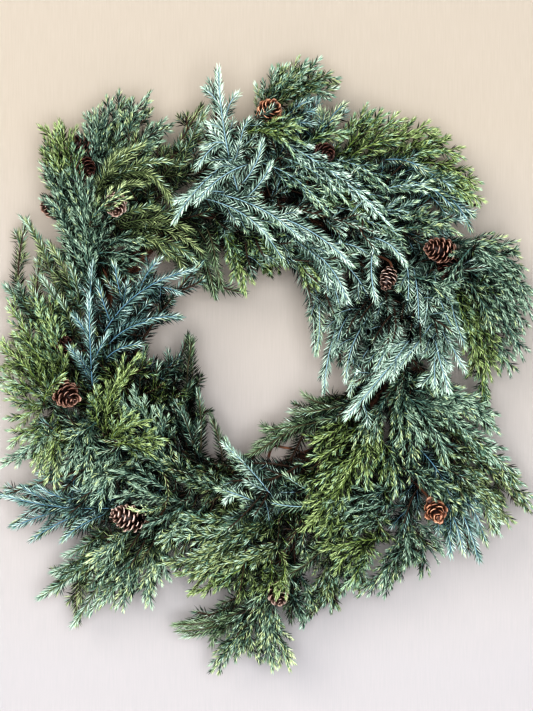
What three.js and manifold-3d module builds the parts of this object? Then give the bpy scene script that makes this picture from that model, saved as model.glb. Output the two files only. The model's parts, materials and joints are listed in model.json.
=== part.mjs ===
import * as THREE from 'three';
import { mergeVertices } from 'three/addons/utils/BufferGeometryUtils.js';
import Module from 'manifold-3d';

// Evergreen wreath: cut branches and cone twigs laid in the grooves of a ring of twisted vines.
// Millimetres. X runs to the right, Y runs away from the viewer to the wall, Z runs up.
// The origin is the underside of the ring's top, where a wall hook carries the wreath.
// Ring angles are degrees clockwise from the top, as seen from the front. The side of the vine
// bundle is 0 on its outer edge, 90 at the front, 180 on its inner edge and 270 at the wall.
// Places of tips and cones are [across, up, front] from the ring's centre, in millimetres.

// Vine ring
const RING_RADIUS = 152;
const OUTER_VINES = 5;
const OUTER_VINE_RADIUS = 4.5;
const CORE_VINE_RADIUS = 3.9;
const VINE_GAP = 0.4;
const VINE_TURNS = 3;
const VINE_SWEEP = 352;
const VINE_END_SPACING = 74;
const VINE_FIRST_END = 342;
const VINE_STEPS = 38;
const VINE_SIDES = 6;

// Loose tendril that springs out of the bundle at the bottom of the hole
const TENDRIL_RADIUS = 1.5;
const TENDRIL_SEAT_ANGLE = 180;
const TENDRIL_SEAT_SIDE = 140;
const TENDRIL_STEPS = 10;
const TENDRIL_ARCH = [
  [30, -118, 14],
  [44, -118, 15],
  [58, -121, 13],
  [70, -128, 8],
];

// Woody stems
const STEM_RADIUS = 2.1;
const STEM_TIP_RADIUS = 0.8;
const SHOOT_RADIUS = 1.2;
const SHOOT_TIP_RADIUS = 0.7;
const STEM_SIDES = 4;
const SHOOT_SIDES = 3;
const STEM_STEPS = 7;
const SHOOT_STEPS = 3;
const SEAT_SWEEP = 9;
const SEAT_STEPS = 2;
const SEAT_CLEARANCE = 1.5;
const SHOOT_ANGLE = 38;
const STEM_SAMPLES = 24;
const SHOOT_FIRST_SAMPLE = 3;
const SHOOT_LAST_SAMPLE = 20;

// Bends, as shares of the way from a stem's exit or a shoot's foot to its tip
const LEAVE_ALONG = 0.25;
const LEAVE_LIFT = 0.16;
const BEND_ALONG = 0.55;
const BEND_FRONT = 0.06;
const SHOOT_BEND = 0.35;

// First direction of a tube's cross-section, which is then carried along the tube
const SECTION_GUIDE = new THREE.Vector3(0.3, 1, 0.2);

// Cones: the outline of the closed body under the scales, as shares of length and radius
const CONE_OUTLINE = [
  [0, 0],
  [0.03, 0.5],
  [0.2, 0.94],
  [0.42, 1],
  [0.68, 0.76],
  [0.9, 0.36],
  [1, 0],
];
const CONE_SIDES = 8;
const CONE_STALK_RADIUS = 1.6;
const CONE_STALK_SINK = 3;
const TWIN_FORK = 0.5;
const TWIN_BEND = 0.3;

const BARK = { color: 0x5b4636, roughness: 0.9 };
const VINE_BARK = { color: 0x4a3226, roughness: 0.85 };
const CONE_SCALES = { color: 0x6e4632, roughness: 0.75 };

// Cut branches. The first tip is the end of the main stem, and pull bends a stem round.
const BRANCHES = [
  {
    name: 'teal_cypress_crown_left',
    angle: 290,
    side: 40,
    tips: [
      [-105, 262, 40],
      [-166, 243, 30],
      [-129, 259, 34],
      [-82, 229, 48],
      [-193, 135, 40],
      [-200, 97, 35],
    ],
  },
  {
    name: 'yellow_cypress_crown_left',
    angle: 276,
    side: 0,
    tips: [
      [-199, 234, 22],
      [-218, 203, 18],
      [-215, 175, 25],
      [-183, 151, 32],
    ],
  },
  {
    name: 'olive_spruce_upper_left',
    angle: 312,
    side: 40,
    tips: [
      [-48, 251, 38],
      [-109, 208, 44],
      [-134, 200, 52],
      [-123, 162, 60],
      [-78, 160, 62],
      [-67, 205, 46],
    ],
  },
  {
    name: 'frosted_spruce_crown',
    angle: 338,
    side: 40,
    tips: [
      [-28, 283, 70],
      [-69, 135, 90],
      [17, 205, 80],
      [-42, 216, 84],
    ],
  },
  {
    name: 'green_cypress_top',
    angle: 344,
    side: 0,
    tips: [
      [73, 298, 30],
      [37, 294, 36],
      [98, 279, 28],
      [19, 254, 50],
    ],
  },
  {
    name: 'blue_spruce_top',
    angle: 7,
    side: 57,
    tips: [
      [105, 251, 30],
      [69, 255, 48],
      [60, 227, 62],
      [28, 216, 70],
    ],
  },
  {
    name: 'frosted_cypress_diagonal',
    angle: 352,
    side: 85,
    tips: [
      [147, 111, 86],
      [120, 181, 74],
      [93, 127, 92],
      [60, 184, 88],
    ],
  },
  {
    name: 'yellow_cypress_arch',
    angle: 12,
    side: 0,
    tips: [
      [251, 146, 34],
      [244, 175, 30],
      [231, 200, 28],
      [217, 220, 26],
      [179, 235, 28],
      [139, 246, 30],
      [201, 173, 48],
    ],
  },
  {
    name: 'grey_spruce_upper_right',
    angle: 26,
    side: 42,
    tips: [
      [212, 127, 60],
      [246, 137, 44],
      [174, 138, 70],
      [217, 164, 50],
    ],
  },
  {
    name: 'frosted_spruce_inner_right',
    angle: 334,
    side: 100,
    tips: [
      [117, 27, 66],
      [117, 92, 74],
      [77, -11, 56],
      [50, 103, 80],
    ],
  },
  {
    name: 'yellow_cypress_over_hole',
    angle: 9,
    side: 135,
    tips: [
      [71, 57, 40],
      [28, 73, 44],
      [50, 84, 50],
    ],
  },
  {
    name: 'olive_spruce_over_hole',
    angle: 324,
    side: 145,
    tips: [
      [-33, 51, 36],
      [-4, 52, 40],
      [-53, 84, 44],
    ],
  },
  {
    name: 'frosted_spruce_hole_right',
    angle: 55,
    side: 130,
    tips: [
      [84, -37, 50],
      [123, -22, 60],
      [98, 11, 64],
    ],
  },
  {
    name: 'pale_spruce_sweep_right',
    angle: 44,
    side: 95,
    pull: [214, 40, 110],
    tips: [
      [109, -77, 84],
      [152, -5, 92],
      [138, -49, 90],
    ],
  },
  {
    name: 'grey_spruce_drop_right',
    angle: 58,
    side: 65,
    pull: [222, 70, 95],
    tips: [
      [212, -52, 70],
      [230, 5, 70],
      [185, -13, 76],
    ],
  },
  {
    name: 'teal_cypress_droop_right',
    angle: 46,
    side: 30,
    tips: [
      [312, 52, 30],
      [293, 99, 34],
      [298, 0, 26],
      [276, 27, 40],
    ],
  },
  {
    name: 'yellow_cypress_droop_right',
    angle: 70,
    side: 30,
    pull: [262, 80, 50],
    tips: [
      [262, -78, 30],
      [276, -35, 32],
      [242, -38, 40],
    ],
  },
  {
    name: 'blue_cypress_right',
    angle: 82,
    side: 65,
    tips: [
      [272, -94, 40],
      [222, -70, 50],
      [163, -65, 70],
      [251, -86, 44],
    ],
  },
  {
    name: 'green_cypress_lower_right',
    angle: 93,
    side: 27,
    tips: [
      [310, -186, 26],
      [295, -149, 32],
      [276, -207, 30],
      [255, -140, 48],
    ],
  },
  {
    name: 'frosted_spruce_lower_right',
    angle: 104,
    side: 60,
    tips: [
      [253, -230, 40],
      [222, -225, 48],
      [258, -214, 40],
      [228, -173, 66],
    ],
  },
  {
    name: 'teal_cypress_lower_right',
    angle: 110,
    side: 10,
    tips: [
      [192, -252, 30],
      [208, -227, 36],
      [168, -238, 36],
      [149, -275, 28],
    ],
  },
  {
    name: 'yellow_cypress_bottom_right',
    angle: 115,
    side: 90,
    tips: [
      [125, -273, 30],
      [138, -232, 46],
      [84, -222, 56],
      [60, -202, 60],
    ],
  },
  {
    name: 'dark_cypress_bottom_right',
    angle: 132,
    side: 0,
    tips: [
      [96, -294, 20],
      [80, -281, 26],
      [64, -305, 18],
      [112, -254, 30],
    ],
  },
  {
    name: 'dark_spruce_hole_bottom',
    angle: 118,
    side: 170,
    tips: [
      [-1, -129, 36],
      [22, -94, 34],
      [55, -70, 44],
    ],
  },
  {
    name: 'yellow_cypress_inner_right',
    angle: 104,
    side: 130,
    tips: [
      [64, -178, 64],
      [69, -108, 56],
      [71, -149, 66],
      [109, -140, 72],
    ],
  },
  {
    name: 'frosted_spruce_bottom_inner',
    angle: 143,
    side: 105,
    pull: [10, -190, 95],
    tips: [
      [-19, -109, 62],
      [-24, -159, 66],
      [19, -135, 60],
    ],
  },
  {
    name: 'green_cypress_bottom_left',
    angle: 165,
    side: 100,
    tips: [
      [-78, -205, 50],
      [-64, -187, 58],
      [-35, -225, 52],
      [-4, -194, 66],
    ],
  },
  {
    name: 'yellow_cypress_bottom',
    angle: 154,
    side: 65,
    tips: [
      [-58, -275, 30],
      [-87, -244, 36],
      [-17, -270, 36],
      [6, -254, 46],
    ],
  },
  {
    name: 'dark_spruce_bottom',
    angle: 143,
    side: 30,
    pull: [56, -280, 26],
    tips: [
      [-73, -311, 24],
      [-35, -329, 26],
      [-13, -294, 34],
    ],
  },
  {
    name: 'teal_cypress_bottom',
    angle: 132,
    side: 70,
    pull: [40, -260, 60],
    tips: [
      [-35, -359, 26],
      [33, -354, 30],
      [15, -350, 24],
      [49, -346, 34],
    ],
  },
  {
    name: 'blue_spruce_lower_left',
    angle: 206,
    side: 75,
    tips: [
      [-264, -170, 36],
      [-231, -160, 40],
      [-251, -200, 30],
      [-222, -212, 34],
      [-193, -211, 40],
    ],
  },
  {
    name: 'green_spruce_lower_left',
    angle: 192,
    side: 36,
    tips: [
      [-220, -278, 20],
      [-206, -252, 24],
      [-183, -308, 18],
      [-172, -270, 26],
    ],
  },
  {
    name: 'teal_cypress_lower_left',
    angle: 186,
    side: 90,
    tips: [
      [-105, -285, 26],
      [-143, -289, 24],
      [-129, -275, 34],
      [-94, -246, 40],
    ],
  },
  {
    name: 'teal_cypress_left_low',
    angle: 220,
    side: 45,
    tips: [
      [-260, -133, 26],
      [-201, -149, 36],
      [-203, -164, 30],
      [-222, -124, 34],
      [-188, -108, 46],
    ],
  },
  {
    name: 'yellow_cypress_left',
    angle: 232,
    side: 10,
    tips: [
      [-261, -5, 26],
      [-264, -30, 28],
      [-255, -54, 34],
      [-222, 16, 40],
      [-210, 43, 44],
    ],
  },
  {
    name: 'green_spruce_left_edge',
    angle: 252,
    side: 0,
    tips: [
      [-259, 58, 18],
      [-244, 46, 24],
      [-240, 129, 14],
      [-222, 97, 20],
    ],
  },
  {
    name: 'blue_spruce_left',
    angle: 244,
    side: 115,
    tips: [
      [-48, 80, 66],
      [-102, 81, 72],
      [-78, 43, 76],
      [-145, 62, 78],
      [-172, 54, 70],
      [-73, 24, 60],
    ],
  },
  {
    name: 'yellow_cypress_inner_left',
    angle: 231,
    side: 85,
    tips: [
      [-116, -22, 72],
      [-143, -38, 74],
      [-161, -59, 76],
    ],
  },
  {
    name: 'dark_spruce_hole_left',
    angle: 212,
    side: 165,
    tips: [
      [-62, 2, 34],
      [-39, -78, 34],
      [-80, -35, 46],
    ],
  },
  {
    name: 'teal_cypress_inner_lower_left',
    angle: 198,
    side: 120,
    tips: [
      [-150, -108, 70],
      [-123, -162, 72],
      [-102, -108, 66],
      [-156, -151, 62],
    ],
  },
];

// Cones on their own twigs. A twig may carry two cones, and each cone has its middle, the way
// its tip points, its length and its greatest diameter.
const CONE_TWIGS = [
  {
    name: 'cone_twig_right',
    angle: 30,
    side: 345,
    cones: [
      { middle: [205, 95, 88], points: [-0.8, 0.15, 0.55], length: 40, diameter: 29 },
      { middle: [217, 76, 72], points: [-0.3, -0.6, 0.5], length: 34, diameter: 25 },
    ],
  },
  {
    name: 'cone_twig_inner_right',
    angle: 33,
    side: 135,
    cones: [{ middle: [152, 63, 86], points: [-0.35, -0.85, 0.45], length: 30, diameter: 20 }],
  },
  {
    name: 'cone_twig_top_right',
    angle: 18,
    side: 90,
    cones: [{ middle: [87, 198, 78], points: [0.3, -0.3, 0.9], length: 30, diameter: 24 }],
  },
  {
    name: 'cone_twig_top',
    angle: 356,
    side: 25,
    cones: [{ middle: [28, 244, 74], points: [0.35, 0.35, 0.8], length: 32, diameter: 29 }],
  },
  {
    name: 'cone_twig_upper_left_edge',
    angle: 298,
    side: 0,
    cones: [
      { middle: [-179, 211, 44], points: [-0.5, 0.4, 0.7], length: 32, diameter: 24 },
      { middle: [-170, 184, 50], points: [0.4, -0.5, 0.7], length: 30, diameter: 23 },
    ],
  },
  {
    name: 'cone_twig_left_edge',
    angle: 283,
    side: 90,
    cones: [{ middle: [-210, 143, 46], points: [-0.6, 0.2, 0.75], length: 30, diameter: 23 }],
  },
  {
    name: 'cone_twig_upper_left',
    angle: 304,
    side: 85,
    cones: [{ middle: [-137, 143, 72], points: [0.1, -0.6, 0.8], length: 34, diameter: 28 }],
  },
  {
    name: 'cone_twig_left_small',
    angle: 265,
    side: 40,
    cones: [{ middle: [-192, -5, 58], points: [0.2, 0.6, 0.7], length: 26, diameter: 19 }],
  },
  {
    name: 'cone_twig_left',
    angle: 243,
    side: 45,
    cones: [{ middle: [-188, -59, 74], points: [0.3, -0.25, 0.9], length: 36, diameter: 31 }],
  },
  {
    name: 'cone_twig_inner_left',
    angle: 228,
    side: 140,
    cones: [{ middle: [-108, -47, 32], points: [0.3, 0.85, 0.4], length: 28, diameter: 20 }],
  },
  {
    name: 'cone_twig_lower_left',
    angle: 203,
    side: 0,
    cones: [{ middle: [-125, -188, 84], points: [-0.85, 0.25, 0.45], length: 41, diameter: 31 }],
  },
  {
    name: 'cone_twig_lower_right',
    angle: 121,
    side: 40,
    cones: [{ middle: [204, -183, 80], points: [0.1, -0.45, 0.85], length: 32, diameter: 28 }],
  },
  {
    name: 'cone_twig_bottom',
    angle: 154,
    side: 0,
    cones: [{ middle: [37, -274, 62], points: [0.2, -0.6, 0.75], length: 30, diameter: 26 }],
  },
];

// Worked out from the dimensions above
const LAY_RADIUS = CORE_VINE_RADIUS + OUTER_VINE_RADIUS + VINE_GAP;
const BUNDLE_RADIUS = LAY_RADIUS + OUTER_VINE_RADIUS;
const RING_CENTRE = new THREE.Vector3(0, 0, BUNDLE_RADIUS - RING_RADIUS);
const HALF_STEP = Math.PI / OUTER_VINES;
const TO_FRONT = new THREE.Vector3(0, -1, 0);

const wasm = await Module();
wasm.setup();

function radians(degrees) {
  return THREE.MathUtils.degToRad(degrees);
}

// A place given as [across, up, front] from the ring's centre.
function place([across, up, front]) {
  return new THREE.Vector3(across, -front, up).add(RING_CENTRE);
}

// A point beside the bundle's centre line: ring angle and side in radians.
function besideRing(angle, side, distance) {
  const outward = new THREE.Vector3(Math.sin(angle), 0, Math.cos(angle));
  return RING_CENTRE.clone()
    .addScaledVector(outward, RING_RADIUS + distance * Math.cos(side))
    .addScaledVector(TO_FRONT, distance * Math.sin(side));
}

// The side on which vine number index lies at a ring angle; a half index is a groove.
function laySide(index, angle) {
  return 2 * HALF_STEP * index + VINE_TURNS * angle;
}

// How far a stem's axis lies from the bundle's centre line when it rests in a groove.
function grooveDistance(stemRadius) {
  const reach = OUTER_VINE_RADIUS + stemRadius + VINE_GAP;
  const halfWidth = LAY_RADIUS * Math.sin(HALF_STEP);
  return LAY_RADIUS * Math.cos(HALF_STEP) + Math.sqrt(reach ** 2 - halfWidth ** 2);
}

function grooveRun(groove, fromAngle, sweep, distance) {
  const points = [];
  for (let step = 0; step <= SEAT_STEPS; step += 1) {
    const angle = radians(fromAngle + (sweep * step) / SEAT_STEPS);
    points.push(besideRing(angle, laySide(groove + 0.5, angle), distance));
  }
  return points;
}

// Degrees between two angles, from 0 to 180.
function angleBetween(first, second) {
  const turn = THREE.MathUtils.euclideanModulo(first - second, 360);
  return Math.min(turn, 360 - turn);
}

// Every butt takes the free groove nearest the side that it leaves from.
const seats = [];

function takeGroove(angle, side) {
  let best = null;
  for (let groove = 0; groove < OUTER_VINES; groove += 1) {
    const inGroove = seats.filter((seat) => seat.groove === groove);
    const clash = inGroove.some((seat) => angleBetween(seat.angle, angle) < SEAT_SWEEP + SEAT_CLEARANCE);
    const lies = THREE.MathUtils.radToDeg(laySide(groove + 0.5, radians(angle)));
    const offset = angleBetween(lies, side);
    if (!clash && (best === null || offset < best.offset)) {
      best = { groove, angle, offset };
    }
  }
  seats.push(best);
  return best.groove;
}

// Closed tube through a list of points, its radius running from one end's to the other's.
function tube(points, startRadius, endRadius, sides, straightSteps = 0) {
  const steps = points.length - 1;
  const geometry = new THREE.CylinderGeometry(1, 1, 1, sides, steps);
  const tangents = points.map((point, index) => {
    const before = points[Math.max(index - 1, 0)];
    const after = points[Math.min(index + 1, steps)];
    return after.clone().sub(before).normalize();
  });
  const normals = [];
  points.forEach((point, index) => {
    const guide = index === 0 ? SECTION_GUIDE : normals[index - 1];
    normals.push(guide.clone().projectOnPlane(tangents[index]).normalize());
  });
  const position = geometry.attributes.position;
  for (let vertex = 0; vertex < position.count; vertex += 1) {
    const ring = Math.round((position.getY(vertex) + 0.5) * steps);
    const along = Math.max(ring - straightSteps, 0) / (steps - straightSteps);
    const radius = THREE.MathUtils.lerp(startRadius, endRadius, along);
    const sideways = normals[ring].clone().cross(tangents[ring]);
    const corner = points[ring].clone()
      .addScaledVector(normals[ring], radius * position.getX(vertex))
      .addScaledVector(sideways, radius * position.getZ(vertex));
    position.setXYZ(vertex, corner.x, corner.y, corner.z);
  }
  return geometry;
}

function solidOf(geometry) {
  const bare = geometry.clone();
  bare.deleteAttribute('normal');
  bare.deleteAttribute('uv');
  const merged = mergeVertices(bare);
  return new wasm.Manifold(new wasm.Mesh({
    numProp: 3,
    vertProperties: new Float32Array(merged.attributes.position.array),
    triVerts: new Uint32Array(merged.index.array),
  }));
}

function geometryOf(solid) {
  const mesh = solid.getMesh();
  const geometry = new THREE.BufferGeometry();
  geometry.setAttribute('position', new THREE.BufferAttribute(mesh.vertProperties, 3));
  geometry.setIndex(new THREE.BufferAttribute(mesh.triVerts, 1));
  geometry.computeVertexNormals();
  return geometry;
}

function namedMesh(name, geometry, finish) {
  const mesh = new THREE.Mesh(geometry, new THREE.MeshStandardMaterial({ metalness: 0, ...finish }));
  mesh.name = name;
  return mesh;
}

// The free part of a stem: it lifts off the bundle first and then bends to its end.
function freeCurve(seatPoints, end, pull) {
  const exit = seatPoints[seatPoints.length - 1];
  const along = exit.clone().sub(seatPoints[seatPoints.length - 2]).normalize();
  const radial = exit.clone().sub(RING_CENTRE).setY(0).setLength(RING_RADIUS).add(RING_CENTRE);
  const lift = exit.clone().sub(radial).normalize();
  const reach = exit.distanceTo(end);
  const leave = exit.clone()
    .addScaledVector(along, LEAVE_ALONG * reach)
    .addScaledVector(lift, LEAVE_LIFT * reach);
  const bend = leave.clone().lerp(end, BEND_ALONG).addScaledVector(TO_FRONT, BEND_FRONT * reach);
  return new THREE.CubicBezierCurve3(exit, leave, pull ? place(pull) : bend, end);
}

// Where a side shoot leaves the main stem: the point from which its tip lies at the shoot angle.
function shootStart(stem, tip) {
  let best = null;
  for (let sample = SHOOT_FIRST_SAMPLE; sample <= SHOOT_LAST_SAMPLE; sample += 1) {
    const share = sample / STEM_SAMPLES;
    const point = stem.getPoint(share);
    const heading = stem.getTangent(share);
    const miss = Math.abs(heading.angleTo(tip.clone().sub(point)) - radians(SHOOT_ANGLE));
    if (best === null || miss < best.miss) {
      best = { miss, point, heading };
    }
  }
  return best;
}

function shootCurve(stem, tip) {
  const start = shootStart(stem, tip);
  const reach = start.point.distanceTo(tip);
  const bend = start.point.clone().addScaledVector(start.heading, SHOOT_BEND * reach);
  return new THREE.QuadraticBezierCurve3(start.point, bend, tip);
}

function stemSolid(angle, side, end, pull, radius, endRadius) {
  const groove = takeGroove(angle, side);
  const seatPoints = grooveRun(groove, angle - SEAT_SWEEP, SEAT_SWEEP, grooveDistance(radius));
  const curve = freeCurve(seatPoints, end, pull);
  const points = [...seatPoints, ...curve.getPoints(STEM_STEPS).slice(1)];
  return { curve, solid: solidOf(tube(points, radius, endRadius, STEM_SIDES, SEAT_STEPS)) };
}

function branch({ name, angle, side, pull, tips }) {
  const [end, ...shootTips] = tips.map(place);
  const stem = stemSolid(angle, side, end, pull, STEM_RADIUS, STEM_TIP_RADIUS);
  let solid = stem.solid;
  for (const tip of shootTips) {
    const points = shootCurve(stem.curve, tip).getPoints(SHOOT_STEPS);
    solid = solid.add(solidOf(tube(points, SHOOT_RADIUS, SHOOT_TIP_RADIUS, SHOOT_SIDES)));
  }
  return namedMesh(name, geometryOf(solid), BARK);
}

// One cone, its axis along the way it points and its outline turned round that axis.
function coneSolid({ middle, points, length, diameter }) {
  const outline = CONE_OUTLINE.map(
    ([along, across]) => new THREE.Vector2((across * diameter) / 2, (along - 0.5) * length),
  );
  const [across, up, front] = points;
  const axis = new THREE.Vector3(across, -front, up).normalize();
  const geometry = new THREE.LatheGeometry(outline, CONE_SIDES);
  geometry.applyQuaternion(new THREE.Quaternion().setFromUnitVectors(new THREE.Vector3(0, 1, 0), axis));
  const centre = place(middle);
  geometry.translate(centre.x, centre.y, centre.z);
  const foot = centre.clone().addScaledVector(axis, CONE_STALK_SINK - length / 2);
  return { solid: solidOf(geometry), foot, axis };
}

function coneTwig({ name, angle, side, cones }) {
  const [first, ...others] = cones.map(coneSolid);
  const behind = first.foot.clone().addScaledVector(first.axis, -cones[0].length).sub(RING_CENTRE);
  const pull = [behind.x, behind.z, -behind.y];
  const stem = stemSolid(angle, side, first.foot, pull, CONE_STALK_RADIUS, CONE_STALK_RADIUS);
  let solid = stem.solid.add(first.solid);
  for (const cone of others) {
    const start = stem.curve.getPoint(TWIN_FORK);
    const bend = cone.foot.clone().addScaledVector(cone.axis, -TWIN_BEND * start.distanceTo(cone.foot));
    const stalk = new THREE.QuadraticBezierCurve3(start, bend, cone.foot).getPoints(SHOOT_STEPS);
    solid = solid.add(solidOf(tube(stalk, CONE_STALK_RADIUS, CONE_STALK_RADIUS, SHOOT_SIDES)));
    solid = solid.add(cone.solid);
  }
  return namedMesh(name, geometryOf(solid), CONE_SCALES);
}

function coreVine() {
  const points = [];
  for (let step = 0; step <= VINE_STEPS; step += 1) {
    const angle = radians(VINE_FIRST_END - VINE_END_SPACING / 2 + (VINE_SWEEP * step) / VINE_STEPS);
    points.push(besideRing(angle, 0, 0));
  }
  return namedMesh('core_vine', tube(points, CORE_VINE_RADIUS, CORE_VINE_RADIUS, VINE_SIDES), VINE_BARK);
}

function outerVine(index) {
  const points = [];
  const firstAngle = VINE_FIRST_END + VINE_END_SPACING * index;
  for (let step = 0; step <= VINE_STEPS; step += 1) {
    const angle = radians(firstAngle + (VINE_SWEEP * step) / VINE_STEPS);
    points.push(besideRing(angle, laySide(index, angle), LAY_RADIUS));
  }
  const geometry = tube(points, OUTER_VINE_RADIUS, OUTER_VINE_RADIUS, VINE_SIDES);
  return namedMesh(`outer_vine_${index + 1}`, geometry, VINE_BARK);
}

function tendril() {
  const groove = takeGroove(TENDRIL_SEAT_ANGLE, TENDRIL_SEAT_SIDE);
  const seat = grooveRun(groove, TENDRIL_SEAT_ANGLE, -SEAT_SWEEP, grooveDistance(TENDRIL_RADIUS));
  const arch = new THREE.CatmullRomCurve3([seat[seat.length - 1], ...TENDRIL_ARCH.map(place)]);
  const points = [...seat, ...arch.getPoints(TENDRIL_STEPS).slice(1)];
  const geometry = tube(points, TENDRIL_RADIUS, TENDRIL_RADIUS, STEM_SIDES);
  return namedMesh('loose_tendril', geometry, VINE_BARK);
}

const wreath = new THREE.Group();
wreath.add(coreVine());
for (let index = 0; index < OUTER_VINES; index += 1) {
  wreath.add(outerVine(index));
}
wreath.add(tendril());
wreath.add(...BRANCHES.map(branch));
wreath.add(...CONE_TWIGS.map(coneTwig));

export default wreath;
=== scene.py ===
import json
import math

import bpy
import numpy as np
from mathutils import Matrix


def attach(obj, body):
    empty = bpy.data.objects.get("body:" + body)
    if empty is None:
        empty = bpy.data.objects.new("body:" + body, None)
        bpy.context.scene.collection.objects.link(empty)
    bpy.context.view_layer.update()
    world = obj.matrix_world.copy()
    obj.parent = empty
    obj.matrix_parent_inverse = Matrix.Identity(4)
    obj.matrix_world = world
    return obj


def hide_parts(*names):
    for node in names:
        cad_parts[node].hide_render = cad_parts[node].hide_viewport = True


# Looks of the evergreen wreath: its vines, its cut branches with their needles, and its cones.
# Sizes are millimetres until a mesh or an object is made. Ring angles run clockwise from the top
# as seen from the front, and places of tips and cones are (across, up, front) from the ring's centre.

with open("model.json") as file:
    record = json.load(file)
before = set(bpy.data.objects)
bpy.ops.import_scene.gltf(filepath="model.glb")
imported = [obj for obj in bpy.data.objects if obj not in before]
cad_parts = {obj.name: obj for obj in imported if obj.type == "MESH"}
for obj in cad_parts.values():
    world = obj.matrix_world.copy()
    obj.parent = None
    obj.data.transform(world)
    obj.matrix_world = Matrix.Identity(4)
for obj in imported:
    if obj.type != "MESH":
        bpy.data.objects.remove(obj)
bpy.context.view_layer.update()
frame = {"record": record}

MM = 0.001

# What is drawn at random starts from this seed and the number of the branch, cone twig or vine
SEED = 2417
CONE_SEEDS = 500
VINE_SEEDS = 900

# Vine ring, as the construction has it
RING_RADIUS = 152
OUTER_VINES = 5
OUTER_VINE_RADIUS = 4.5
CORE_VINE_RADIUS = 3.9
VINE_GAP = 0.4
VINE_TURNS = 3
VINE_SWEEP = 352
VINE_END_SPACING = 74
VINE_FIRST_END = 342
TENDRIL_RADIUS = 1.5
TENDRIL_SEAT = (180, 140)
TENDRIL_ARCH = [(30, -118, 14), (44, -118, 15), (58, -121, 13), (70, -128, 8)]

LAY_RADIUS = CORE_VINE_RADIUS + OUTER_VINE_RADIUS + VINE_GAP
BUNDLE_RADIUS = LAY_RADIUS + OUTER_VINE_RADIUS
RING_CENTRE = np.array([0.0, 0.0, BUNDLE_RADIUS - RING_RADIUS])
HALF_STEP = math.pi / OUTER_VINES
TO_FRONT = np.array([0.0, -1.0, 0.0])

# Stems, as the construction has them
STEM_RADIUS = 2.1
STEM_TIP_RADIUS = 0.8
SHOOT_RADIUS = 1.2
SHOOT_TIP_RADIUS = 0.7
SEAT_SWEEP = 9
SEAT_STEPS = 2
SEAT_CLEARANCE = 1.5
SHOOT_ANGLE = 38
STEM_SAMPLES = 24
SHOOT_SAMPLES = range(3, 21)
LEAVE_ALONG = 0.25
LEAVE_LIFT = 0.16
BEND_ALONG = 0.55
BEND_FRONT = 0.06
SHOOT_BEND = 0.35
CONE_STALK_RADIUS = 1.6
CONE_STALK_SINK = 3
TWIN_BEND = 0.3

# Stems that only the looks have, and how finely stems and stalks are drawn
STRAND_RADIUS = 0.9
TWIG_RADIUS = 0.5
TWIG_TIP_SHARE = 0.6
STEM_SIDES = 5
LINK_SIDES = 4
STALK_SIDES = 6
SHOOT_POINTS = 9
STALK_POINTS = 16
TWIN_POINTS = 8

# Nothing reaches further back, to the wall, or further forward than this
BACK_LIMIT = 11.5
FRONT_LIMIT = -108

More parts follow.
